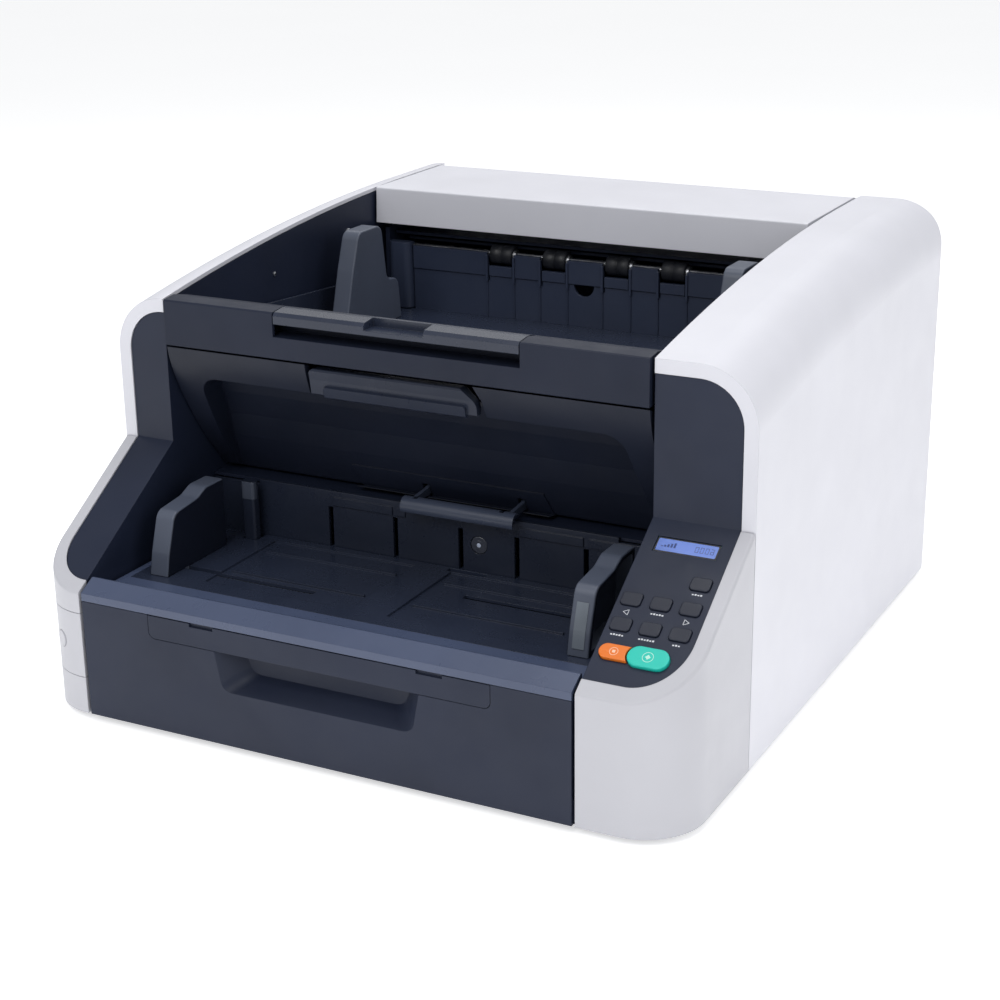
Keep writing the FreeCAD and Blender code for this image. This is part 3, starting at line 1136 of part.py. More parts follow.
def output_tray():
    """Floor of the output tray: level at the rear, rising to the beam."""
    x0, x1 = CX - UNIT, CX + UNIT
    y_level = EXIT_WALL - OUT_LEVEL
    y0 = Y_BEAM + BEAM_DEPTH + GAP
    z0 = BEAM_LOW - 2
    outline = [(EXIT_WALL - GAP, OUT_FLOOR), (y_level, OUT_FLOOR), (y0, z0), (y0, z0 - SHEET),
               (y_level, OUT_FLOOR - SHEET), (EXIT_WALL - GAP, OUT_FLOOR - SHEET)]
    floor = yz(outline, x0, x1)
    walls = []
    for side in (-1, 1):
        a = CX + side * UNIT
        b = a - side * 2.2
        walls.append(yz([(EXIT_WALL - GAP, OUT_FLOOR - SHEET), (EXIT_WALL - GAP, 240), (y0, 262),
                         (y0, z0 - SHEET),
                         (y_level, OUT_FLOOR - SHEET)], min(a, b), max(a, b)))
    slots = []
    for side in (-1, 1):
        y = OUT_PINION_Y + side * (PITCH_R + 5.0)
        a = CX + side * (OUT_GUIDE_IN + 17)
        b = CX + side * (OUT_GUIDE_IN - TRAVEL - 1)
        slots.append(box(min(a, b), max(a, b), y - NECK / 2 - 0.5, y + NECK / 2 + 0.5,
                         OUT_FLOOR - 9, OUT_FLOOR + 5))
    pin = rod_z(CX, OUT_PINION_Y, OUT_FLOOR - 12, OUT_FLOOR - SHEET + 0.1, 3.0)
    return carve(join(floor, *walls, pin), *slots)


def exit_wall():
    """Ribbed wall under the top cover with gaps for the exit rollers."""
    x0, x1 = CX - UNIT + 8.6, CX + UNIT - 8.6
    y0 = EXIT_WALL
    lower = box(x0 + 22, x1, y0, y0 + 2.6, OUT_FLOOR - SHEET, 247)
    upper = box(x0 + 22, x1, y0 - 1.2, y0 + 2.6, 247.6, 267)
    shelf = box(x0 + 22, x1, y0 + 1.4, y0 + 4, 246, 249)
    column = round_edges(box(x0, x0 + 21, y0 - 7, y0 + 2.6, OUT_FLOOR + 1, 270), 6.0,
                         lambda b: upright(b) and b.YMin < y0 - 5)
    web = box(x0 + 18, x0 + 24, y0 + 1.4, y0 + 2.8, OUT_FLOOR + 1, 266)
    gaps = [box(CX + x - 12.6, CX + x + 12.6, y0 - 4, y0 + 9, 256, 275) for x in ROLLER_X]
    gaps += [box(CX + x + s * 11.4 - 0.7, CX + x + s * 11.4 + 0.7, y0 - 4, y0 + 9, 243, 257)
             for x in ROLLER_X for s in (-1, 1)]
    ribs = [box(CX + x + s * 12.6 - 1.0, CX + x + s * 12.6 + 1.0, y0 - 2.4, y0 + 1, 243, 265)
            for x in ROLLER_X for s in (-1, 1)]
    ribs += [box(CX + x + s * 12.6 - 0.5, CX + x + s * 12.6 + 0.5, y0 - 0.9, y0 + 1, OUT_FLOOR + 1, 244)
             for x in ROLLER_X for s in (-1, 1)]
    notch = rod_y(CX - 1, y0 - 4, y0 + 9, 246.5, 9.0).common(box(-400, 400, -400, 400, 0, 247))
    tabs = [box(x, x + 4.4, y0 + 0.2, y0 + 2.6, 215, 232) for x in (x0 - 4.2, x1 - 0.1)]
    return carve(join(carve(join(lower, upper, shelf), *gaps), *ribs, column, web, *tabs), notch)


def exit_roller():
    shaft = rod_x(CX - UNIT + 5, CX + UNIT - 5, EXIT_Y, EXIT_AXIS, 3.0)
    return join(shaft,
                *[rod_x(CX + x - 10.3, CX + x + 10.3, EXIT_Y, EXIT_AXIS, EXIT_ROLLER) for x in ROLLER_X])


def top_cover():
    """Light rear cover of the unit, rounded about the hinge at its rear edge."""
    x0, x1 = CX - UNIT, CX + UNIT

    def section(inset):
        front_top = vec(0, EXIT_WALL - 8.0 + inset, HEIGHT - inset)
        front_low = vec(0, EXIT_WALL - 9.5 + inset, COVER_LOW)
        r = HINGE_DOWN - inset
        top_end = vec(0, HY, HZ + r)
        turn = [vec(0, HY + r * math.cos(math.radians(a)),
                    HZ + r * math.sin(math.radians(a))) for a in (30, -30)]
        return front_low, front_top, top_end, turn[0], turn[1]
    a = section(0.0)
    b = section(WALL)
    edges = [Part.makeLine(a[0], a[1]), Part.makeLine(a[1], a[2]), Part.Arc(a[2], a[3], a[4]).toShape(),
             Part.makeLine(a[4], b[4]), Part.Arc(b[4], b[3], b[2]).toShape(), Part.makeLine(b[2], b[1]),
             Part.makeLine(b[1], b[0]), Part.makeLine(b[0], a[0])]
    shell = Part.Face(Part.Wire(edges)).extrude(vec(x1 - x0, 0, 0))
    shell.translate(vec(x0, 0, 0))

    def front_edge(e):
        return along_x(e) and e.YMax < EXIT_WALL - 5 and e.ZMin > HEIGHT - 1
    shell = round_edges(shell, 1.5, front_edge)
    ends = []
    for side in (-1, 1):
        edge = CX + side * UNIT
        inner = edge - side * 3.0
        skirt = yz([(EXIT_WALL - 7, 300), (EXIT_WALL - 8, COVER_LOW + 1.5), (EXIT_WALL + 14, 284),
                    (HY + 4, HZ - 8), (HY + 8, HZ), (HY + 6, HZ + 6), (HY, HEIGHT - 1), (EXIT_WALL - 6, HEIGHT - 1)],
                   min(edge, inner), max(edge, inner))
        ends.append(skirt.cut(rod_x(edge - 6, edge + 6, HY, HZ, HINGE_PIN + 1)))
    return join(shell, *ends)


def case_screws():
    """Screws that hold the side frames down, one solid each."""
    screws = []
    for side in (-1, 1):
        x = side_ends(side)[0] + side * (FRAME_OFF - 6)
        for y in (YP + 80, 40, YR - 50):
            low = BODY_LOW + WALL + PLATE
            head = Part.makeCylinder(3.4, 2.2, vec(x, y, low + 0.02))
            drive = box(x - 2.2, x + 2.2, y - 0.5, y + 0.5, low + 1.2, low + 3)
            cross = box(x - 0.5, x + 0.5, y - 2.2, y + 2.2, low + 1.2, low + 3)
            screws.append(carve(head, drive, cross))
    return screws


# ---- all the pieces -------------------------------------------------------------
def pieces():
    parts = {
        "base_pan": base_pan(),
        "rubber_feet": rubber_feet(),
        "left_side_frame": side_frame(-1),
        "right_side_frame": side_frame(1),
        "left_side_cover": side_cover(-1),
        "right_side_cover": side_cover(1),
        "left_front_housing": front_housing(-1),
        "right_front_housing": front_housing(1),
        "left_corner_cover": left_corner_cover(),
        "power_key": power_key(),
        "left_inner_panel": inner_panel(-1),
        "right_inner_panel": inner_panel(1),
        "console_board": console_board(),
        "front_panel": front_panel(),
        "input_tray": input_tray(),
        "tray_extension": tray_extension(),
        "lift_table": lift_table(),
        "input_guide_left": input_guide(-1),
        "input_guide_right": input_guide(1),
        "input_pinion": pinion(CX, IN_PINION_Y, TRAY_TOP - 10.4, TRAY_TOP - 5.0, 3.0 + RUN),
        "input_rear_wall": input_rear_wall(),
        "rear_cover": rear_cover(),
        "control_board": control_board(),
        "lower_paper_guide": lower_paper_guide(),
        "lower_camera": camera_unit(CAM_LOW_Y, 92, PATH - 2.8, False),
        "lower_glass": glass_strip(CAM_LOW_Y, PATH - 2.4, PATH - 0.2),
        "drive_motor": drive_motor(),
        "motor_pulley": motor_pulley(),
        "drive_belt": drive_belt(),
        "transport_roller": transport_roller(),
        "retard_roller": retard_roller(),
        "unit_frame": unit_frame(),
        "unit_beam": unit_beam(),
        "unit_fascia": unit_fascia(),
        "stopper_flap": stopper_flap(),
        "latch_handle": latch_handle(),
        "latch_hooks": latch_hooks(),
        "output_tray": output_tray(),
        "output_guide_left": output_guide(-1),
        "output_guide_right": output_guide(1),
        "output_pinion": pinion(CX, OUT_PINION_Y, OUT_FLOOR - 9.6, OUT_FLOOR - SHEET - 0.8, 3.0 + RUN),
        "exit_wall": exit_wall(),
        "exit_roller": exit_roller(),
        "top_cover": top_cover(),
        "turn_guide": turn_guide(),
        "upper_camera": camera_unit(CAM_UP_Y, PATH + PATH_GAP + 2.8, 186, True),
        "upper_glass": glass_strip(CAM_UP_Y, PATH + PATH_GAP + 0.2, PATH + PATH_GAP + 2.4),
        "feed_roller": feed_roller(),
        "pickup_arm": pickup_arm(),
        "pickup_roller": pickup_roller(),
        "case_screws": case_screws(),
    }
    parts.update(key_caps())
    return parts


def main():
    os.makedirs("parts", exist_ok=True)
    for name, shape in pieces().items():
        solids = shape if isinstance(shape, list) else shape.Solids
        whole = solids[0] if len(solids) == 1 else Part.makeCompound(solids)
        print(name, len(solids), whole.isValid(), round(whole.Volume / 1000, 1))
        whole.exportStep("parts/" + name + ".step")


main()
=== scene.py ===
import json
import math

import bmesh
import bpy
from mathutils import Matrix, Vector


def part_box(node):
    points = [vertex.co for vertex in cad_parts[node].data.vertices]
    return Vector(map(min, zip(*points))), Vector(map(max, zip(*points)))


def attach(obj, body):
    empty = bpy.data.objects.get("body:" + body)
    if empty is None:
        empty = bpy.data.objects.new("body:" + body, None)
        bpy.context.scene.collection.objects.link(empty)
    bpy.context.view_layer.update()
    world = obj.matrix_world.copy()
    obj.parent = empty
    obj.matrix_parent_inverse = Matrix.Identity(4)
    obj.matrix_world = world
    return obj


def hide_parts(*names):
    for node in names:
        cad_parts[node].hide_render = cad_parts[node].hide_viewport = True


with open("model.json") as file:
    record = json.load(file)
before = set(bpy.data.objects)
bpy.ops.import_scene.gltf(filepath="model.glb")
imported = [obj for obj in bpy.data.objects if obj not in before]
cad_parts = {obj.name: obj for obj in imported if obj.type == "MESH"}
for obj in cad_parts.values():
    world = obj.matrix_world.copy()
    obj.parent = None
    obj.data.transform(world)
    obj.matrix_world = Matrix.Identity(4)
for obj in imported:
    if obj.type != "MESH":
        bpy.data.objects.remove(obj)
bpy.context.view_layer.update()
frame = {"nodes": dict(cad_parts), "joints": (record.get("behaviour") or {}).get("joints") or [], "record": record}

bl_info = {
    "name": "Sheet Fed Scanner Looks",
    "version": (1, 0, 0),
    "blender": (4, 5, 0),
    "location": "View3D > Sidebar > Scanner",
    "description": "Gives a packed sheet fed scanner its finishes, fine pieces and a plain studio",
    "category": "Object",
}

# Sizes are in metres, unless a name ends in _mm
MM = 0.001
AXIS = 0.0001                # radius at which a turned outline stops short of its axis
WELD = 1e-6                  # points nearer than this are one point
SHARP_OUTLINE = 6            # a turned outline with more points than this is shaded smooth
SHAFT_CHAMFER = 0.0004
TYRE_CHAMFER = 0.0008
GROOVE_PITCH = 0.010         # tyre length for one groove
GROOVE_TOP, GROOVE_FLOOR = 0.0006, 0.0003    # half widths of a groove
GROOVE_DEPTH = 0.0004
BUSH_WALL, BUSH_LENGTH = 0.0022, 0.0026
SHAFT_SHARE = 0.98           # tyres and bushes reach this far into the shaft
SINK = 0.00001               # laid print reaches this far into its face
PRINT = 0.00005              # and stands this far over it
RECESS_SHADE = (-0.00002, 0.00006)  # a screw's dark cross of painted shade for its recess, from inside its head to just over it
TYRE_SHARE = 0.96            # a roller's points beyond this share of its radius are tyre
FLOOR_HALF = 30.0            # half the studio floor's width
SMALL_KEYS = ("reset_key", "back_key", "mode_key", "next_key", "count_key", "manual_key", "end_key")
MARK_DOTS = (4, 0, 5, 0, 5, 6, 3)      # under each small key, and none where an arrow stands


# ---------------------------------------------------------------- finishes

def new_finish(name):
    """A new material with one Principled shader: returns the material, its node tree and the shader."""
    finish = bpy.data.materials.new(name)
    finish.use_nodes = True
    tree = finish.node_tree
    shader = tree.nodes["Principled BSDF"]
    return finish, tree, shader


def place_of(tree, stretch=(1, 1, 1)):
    """Object coordinates in metres, stretched for a grain that runs one way."""
    coords = tree.nodes.new("ShaderNodeTexCoord")
    if stretch == (1, 1, 1):
        return coords.outputs["Object"]
    mapping = tree.nodes.new("ShaderNodeMapping")
    mapping.inputs["Scale"].default_value = stretch
    tree.links.new(coords.outputs["Object"], mapping.inputs["Vector"])
    return mapping.outputs["Vector"]


def noise(tree, place, size_mm, detail=2.0, rough=0.5):
    """Noise whose blotches are about size_mm across."""
    node = tree.nodes.new("ShaderNodeTexNoise")
    node.inputs["Scale"].default_value = 1000.0 / size_mm
    node.inputs["Detail"].default_value = detail
    node.inputs["Roughness"].default_value = rough
    tree.links.new(place, node.inputs["Vector"])
    return node.outputs["Fac"]


def between(tree, source, low, high, start=0.35, end=0.65):
    """Maps a 0 to 1 pattern onto the range low to high."""
    node = tree.nodes.new("ShaderNodeMapRange")
    for key, value in (("From Min", start), ("From Max", end), ("To Min", low), ("To Max", high)):
        node.inputs[key].default_value = value
    tree.links.new(source, node.inputs["Value"])
    return node.outputs["Result"]


def tint(tree, source, colour, shade, start=0.35, end=0.65):
    """Blends from colour to shade by a pattern."""
    node = tree.nodes.new("ShaderNodeMix")
    node.data_type = "RGBA"
    node.inputs["A"].default_value = (*colour, 1)
    node.inputs["B"].default_value = (*shade, 1)
    tree.links.new(between(tree, source, 0, 1, start, end), node.inputs["Factor"])
    return node.outputs["Result"]


def bump(tree, source, depth_mm, strength=1.0, under=None):
    """Relief from a pattern, laid over another relief where one is given."""
    node = tree.nodes.new("ShaderNodeBump")
    node.inputs["Strength"].default_value = strength
    node.inputs["Distance"].default_value = depth_mm * MM
    tree.links.new(source, node.inputs["Height"])
    if under is not None:
        tree.links.new(under, node.inputs["Normal"])
    return node.outputs["Normal"]


def soft_edge(tree, radius_mm):
    """Rounds the sharp corners of a moulding in its shading."""
    node = tree.nodes.new("ShaderNodeBevel")
    node.samples = 4
    node.inputs["Radius"].default_value = radius_mm * MM
    return node.outputs["Normal"]


def scaled(colour, factor):
    """The same hue, lighter or darker."""
    return tuple(min(1.0, c * factor) for c in colour)


def moulded_plastic(name, colour, gloss, grain_mm, depth_mm, drift, edge_mm=0.7, shine=0.5):
    """Injection moulded plastic: spark eroded grain, a slow drift of shade and a patchy gloss."""
    finish, tree, shader = new_finish(name)
    place = place_of(tree)
    slow = noise(tree, place, size_mm=90, detail=3)
    shade = tint(tree, slow, scaled(colour, 1 - drift), scaled(colour, 1 + drift))
    tree.links.new(shade, shader.inputs["Base Color"])
    handled = noise(tree, place, size_mm=28, detail=4, rough=0.6)
    tree.links.new(between(tree, handled, gloss - 0.05, gloss + 0.06), shader.inputs["Roughness"])
    fine = noise(tree, place, size_mm=grain_mm, detail=2, rough=0.6)
    swell = noise(tree, place, size_mm=34, detail=1)
    soft = bump(tree, swell, depth_mm=0.05, strength=0.5, under=soft_edge(tree, edge_mm))
    relief = bump(tree, fine, depth_mm=depth_mm, strength=0.6, under=soft)
    tree.links.new(relief, shader.inputs["Normal"])
    shader.inputs["Specular IOR Level"].default_value = shine
    return finish


def plated_sheet(name, colour):
    """Zinc plated sheet steel: crystal patches and a faint rolling grain."""
    finish, tree, shader = new_finish(name)
    place = place_of(tree)
    patches = tree.nodes.new("ShaderNodeTexVoronoi")
    patches.inputs["Scale"].default_value = 120
    tree.links.new(place, patches.inputs["Vector"])
    tone = tree.nodes.new("ShaderNodeSeparateColor")
    tree.links.new(patches.outputs["Color"], tone.inputs["Color"])
    shade = tint(tree, tone.outputs["Red"], scaled(colour, 0.82), scaled(colour, 1.1), 0, 1)
    tree.links.new(shade, shader.inputs["Base Color"])
    tree.links.new(between(tree, tone.outputs["Green"], 0.3, 0.5, 0, 1), shader.inputs["Roughness"])
    rolled = noise(tree, place_of(tree, (1, 0.04, 1)), size_mm=0.6, detail=2)
    tree.links.new(bump(tree, rolled, depth_mm=0.02, strength=0.4), shader.inputs["Normal"])
    shader.inputs["Metallic"].default_value = 1.0
    return finish


def drawn_metal(name, colour, stretch, rough=0.28):
    """Drawn or extruded metal with lines along one axis."""
    finish, tree, shader = new_finish(name)
    lines = noise(tree, place_of(tree, stretch), size_mm=0.5, detail=3, rough=0.65)
    shade = tint(tree, lines, scaled(colour, 0.86), scaled(colour, 1.08))
    tree.links.new(shade, shader.inputs["Base Color"])
    tree.links.new(between(tree, lines, rough - 0.07, rough + 0.1), shader.inputs["Roughness"])
    tree.links.new(bump(tree, lines, depth_mm=0.012, strength=0.5), shader.inputs["Normal"])
    shader.inputs["Metallic"].default_value = 1.0
    return finish


def ground_rubber(name, colour, dust=0.5):
    """Rubber with a ground face and a little paper dust."""
    finish, tree, shader = new_finish(name)
    place = place_of(tree)
    dusty = noise(tree, place, size_mm=7, detail=5, rough=0.65)
    shade = tint(tree, dusty, colour, scaled(colour, 1 + 3 * dust), 0.45, 0.85)
    tree.links.new(shade, shader.inputs["Base Color"])
    tree.links.new(between(tree, dusty, 0.36, 0.62), shader.inputs["Roughness"])
    ground = noise(tree, place, size_mm=0.35, detail=3, rough=0.7)
    tree.links.new(bump(tree, ground, depth_mm=0.03, strength=0.6), shader.inputs["Normal"])
    return finish


def clear_glass(name, colour):
    """Clear strip glass with wiping marks."""
    finish, tree, shader = new_finish(name)
    place = place_of(tree, (0.1, 1, 1))
    marks = noise(tree, place, size_mm=9, detail=4, rough=0.6)
    tree.links.new(between(tree, marks, 0.02, 0.09), shader.inputs["Roughness"])
    tree.links.new(tint(tree, marks, colour, scaled(colour, 0.93)), shader.inputs["Base Color"])
    tree.links.new(bump(tree, marks, depth_mm=0.01, strength=0.3), shader.inputs["Normal"])
    shader.inputs["Transmission Weight"].default_value = 0.92
    shader.inputs["IOR"].default_value = 1.5
    return finish


def solder_mask(name, colour):
    """Circuit board lacquer with tracks showing through."""
    finish, tree, shader = new_finish(name)
    place = place_of(tree)
    tracks = tree.nodes.new("ShaderNodeTexBrick")
    tracks.inputs["Scale"].default_value = 130
    tracks.inputs["Mortar Size"].default_value = 0.035
    tree.links.new(place, tracks.inputs["Vector"])
    shade = tint(tree, tracks.outputs["Fac"], scaled(colour, 1.7), colour, 0.2, 0.8)
    tree.links.new(shade, shader.inputs["Base Color"])
    relief = bump(tree, tracks.outputs["Fac"], depth_mm=0.04, strength=0.5)
    tree.links.new(relief, shader.inputs["Normal"])
    cloudy = noise(tree, place, size_mm=12, detail=3)
    tree.links.new(between(tree, cloudy, 0.25, 0.4), shader.inputs["Roughness"])
    return finish


def lit_display(name, colour):
    """Backlit liquid crystal panel: cell grid, an uneven backlight and a glossy front."""
    finish, tree, shader = new_finish(name)
    place = place_of(tree)
    glow = noise(tree, place, size_mm=30, detail=2)
    grid = tree.nodes.new("ShaderNodeTexBrick")
    grid.offset = 0.0
    grid.inputs["Scale"].default_value = 900
    grid.inputs["Mortar Size"].default_value = 0.012
    tree.links.new(place, grid.inputs["Vector"])
    lamp = tint(tree, glow, scaled(colour, 0.9), scaled(colour, 1.12))
    tree.links.new(lamp, shader.inputs["Base Color"])
    tree.links.new(lamp, shader.inputs["Emission Color"])
    shader.inputs["Emission Strength"].default_value = 0.32
    tree.links.new(between(tree, grid.outputs["Fac"], 0.12, 0.2, 0, 1), shader.inputs["Roughness"])
    relief = bump(tree, grid.outputs["Fac"], depth_mm=0.01, strength=0.3)
    tree.links.new(relief, shader.inputs["Normal"])
    return finish


def pale_floor(name, colour, glow):
    """Plain matt studio floor."""
    finish, tree, shader = new_finish(name)
    place = place_of(tree)
    shade = tint(tree, noise(tree, place, size_mm=400, detail=3), scaled(colour, 0.985), colour)
    tree.links.new(shade, shader.inputs["Base Color"])
    scuffs = noise(tree, place, size_mm=60, detail=3)
    tree.links.new(between(tree, scuffs, 0.6, 0.7), shader.inputs["Roughness"])
    shader.inputs["Emission Color"].default_value = (*colour, 1)
    shader.inputs["Emission Strength"].default_value = glow
    return finish


def dress(nodes, finish):
    """Puts a finish on every material slot of the named CAD nodes."""
    for name in nodes:
        mesh = frame["nodes"][name].data
        if not mesh.materials:
            mesh.materials.append(finish)
        for index in range(len(mesh.materials)):
            mesh.materials[index] = finish


# ---------------------------------------------------------------- fine pieces

def corners_of(node):
    """Vertices of a CAD node, in the frame."""
    return [v.co.copy() for v in frame["nodes"][node].data.vertices]


def add_piece(name, bm, finishes, body):
    """Closes a mesh, adds it to the scene and lets it ride on a CAD body."""
    bmesh.ops.remove_doubles(bm, verts=bm.verts, dist=WELD)
    bmesh.ops.recalc_face_normals(bm, faces=bm.faces)
    mesh = bpy.data.meshes.new(name)
    bm.to_mesh(mesh)
    bm.free()
    for finish in finishes:
        mesh.materials.append(finish)
    piece = bpy.data.objects.new(name, mesh)
    bpy.context.scene.collection.objects.link(piece)
    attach(piece, body)
    return piece


def turned(bm, profile, centre, axis=(1, 0, 0), steps=48, slot=0):
    """Spins a closed profile of (along, radius) points, in metres, about an axis through centre."""
    axis = Vector(axis).normalized()
    side = axis.orthogonal().normalized()
    ring = [bm.verts.new(Vector(centre) + axis * a + side * r) for a, r in profile]
    edges = [bm.edges.new(pair) for pair in zip(ring, ring[1:] + ring[:1])]
    before = set(bm.faces)
    bmesh.ops.spin(bm, geom=ring + edges, cent=centre, axis=axis, angle=math.tau, steps=steps,
                   use_merge=True)
    for face in set(bm.faces) - before:
        face.material_index = slot
        face.smooth = len(profile) > SHARP_OUTLINE


def plate(bm, axes, across, along, rise, rounding=0.0, slot=0):
    """A flat piece between two values on each of three axes, with rounded upright corners."""
    origin, e0, e1, e2 = axes
    size = [across[1] - across[0], along[1] - along[0], rise[1] - rise[0]]
    middle = origin + e0 * sum(across) / 2 + e1 * sum(along) / 2 + e2 * sum(rise) / 2
    turn = Matrix((e0 * size[0], e1 * size[1], e2 * size[2])).transposed().to_4x4()
    made = bmesh.ops.create_cube(bm, size=1.0, matrix=Matrix.Translation(middle) @ turn)["verts"]
    faces = {f for v in made for f in v.link_faces}
    for face in faces:
        face.material_index = slot
    if rounding:
        edges = {e for v in made for e in v.link_edges
                 if abs((e.verts[0].co - e.verts[1].co).normalized().dot(e2)) > 0.99}
        bmesh.ops.bevel(bm, geom=list(edges), offset=rounding, affect="EDGES", segments=4, profile=0.5,
                        material=-1)


def roller_shape(node, shaft_finish, tyre_finish, bush_finish, body):
    """A roller as a drawn shaft, grooved tyres and a bush beside each tyre."""
    low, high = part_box(node)
    centre = Vector(((low[0] + high[0]) / 2, (low[1] + high[1]) / 2, (low[2] + high[2]) / 2))
    radius = (high[2] - low[2]) / 2
    reach = [(p.x, math.hypot(p.y - centre.y, p.z - centre.z)) for p in corners_of(node)]
    shaft = min(r for x, r in reach if r > MM)
    ends = sorted({round(x, 5) for x, r in reach if r > TYRE_SHARE * radius})
    bm = bmesh.new()
    a, b = low[0] - centre.x, high[0] - centre.x
    cut = SHAFT_CHAMFER
    turned(bm, [(a, AXIS), (a, shaft - cut), (a + cut, shaft), (b - cut, shaft), (b, shaft - cut),
                (b, AXIS)], centre, steps=32)
    for x0, x1 in zip(ends[::2], ends[1::2]):
        a, b = x0 - centre.x, x1 - centre.x
        core = shaft * SHAFT_SHARE
        rim = [(a, radius - TYRE_CHAMFER), (a + TYRE_CHAMFER, radius)]
        grooves = max(2, round((b - a) / GROOVE_PITCH))
        for k in range(1, grooves):
            g = a + (b - a) * k / grooves
            rim += [(g - GROOVE_TOP, radius), (g - GROOVE_FLOOR, radius - GROOVE_DEPTH),
                    (g + GROOVE_FLOOR, radius - GROOVE_DEPTH), (g + GROOVE_TOP, radius)]
        rim += [(b - TYRE_CHAMFER, radius), (b, radius - TYRE_CHAMFER)]
        turned(bm, [(a, core), *rim, (b, core)], centre, slot=1)
        bush = min(radius * 0.66, shaft + BUSH_WALL)
        end = b + BUSH_LENGTH
        turned(bm, [(b, core), (b, bush), (end - cut, bush), (end, bush - cut), (end, core)],
               centre, slot=2)
    piece = add_piece(node + ".turned", bm, (shaft_finish, tyre_finish, bush_finish), body)
    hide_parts(node)


def screw(name, spot, outward, radius, finish, body):
    """A pan head screw, its head standing on a face, with a dark cross laid on the head as painted shade for a
    cross recess.
    """
    out = Vector(outward).normalized()
    side = out.orthogonal().normalized()
    axes = (Vector(spot), side, out.cross(side), out)
    bm = bmesh.new()
    under, top = -0.0004, radius * 0.6
    turned(bm, [(under, AXIS), (under, radius), (radius * 0.28, radius), (radius * 0.52, radius * 0.8),
                (top, radius * 0.45), (top, AXIS)], spot, out, 24)
    arm, bar = (-radius * 0.52, radius * 0.52), (-radius * 0.13, radius * 0.13)
    rise = (top + RECESS_SHADE[0], top + RECESS_SHADE[1])
    plate(bm, axes, arm, bar, rise, slot=1)
    plate(bm, axes, bar, arm, rise, slot=1)
    add_piece(name, bm, finish, body)


def console_axes():
    """A point on the sloped console with its directions across, up the slope and out of it."""
    low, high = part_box("mode_key")
    spot = Vector(low).lerp(Vector(high), 0.5)
    press = next(j for j in frame["joints"] if j["name"] == "mode_button_press")
    out = -Vector(press["axis"]).normalized()
    across = Vector((1, 0, 0))
    return spot, across, out.cross(across), out


def spans(node, axes):
    """Range of a CAD node along each of three directions from their origin."""
    origin = axes[0]
    found = []
    for direction in axes[1:]:
        values = [(p - origin).dot(direction) for p in corners_of(node)]
        found.append((min(values), max(values)))
    return found


def console_level(axes):
    """Height of the dark console face over the axes' origin."""
    origin, across, along, out = axes
    reach, key_height = 0.03, 0.006
    near = [(p - origin) for p in corners_of("right_inner_panel")]
    flat = [p.dot(out) for p in near if abs(p.dot(across)) < reach and abs(p.dot(along)) < reach]
    return max(h for h in flat if h < key_height)


def round_pocket(node):
    """Centre of a round pocket's floor: the one depth whose points span as far up as across."""
    levels = {}
    for p in corners_of(node):
        levels.setdefault(round(p.y, 5), []).append(p)
    for points in levels.values():
        xs, zs = [p.x for p in points], [p.z for p in points]
        wide, tall = max(xs) - min(xs), max(zs) - min(zs)
        if len(points) >= 12 and abs(wide - tall) < 0.1 * MM:
            return Vector(((min(xs) + max(xs)) / 2, points[0].y, (min(zs) + max(zs)) / 2))
    raise RuntimeError("no round pocket in " + node)


# ---------------------------------------------------------------- settings

def colour_setting(name, description, default):
    """A colour swatch."""
    return bpy.props.FloatVectorProperty(
        name=name, description=description, default=default, subtype="COLOR", size=3, min=0, max=1)


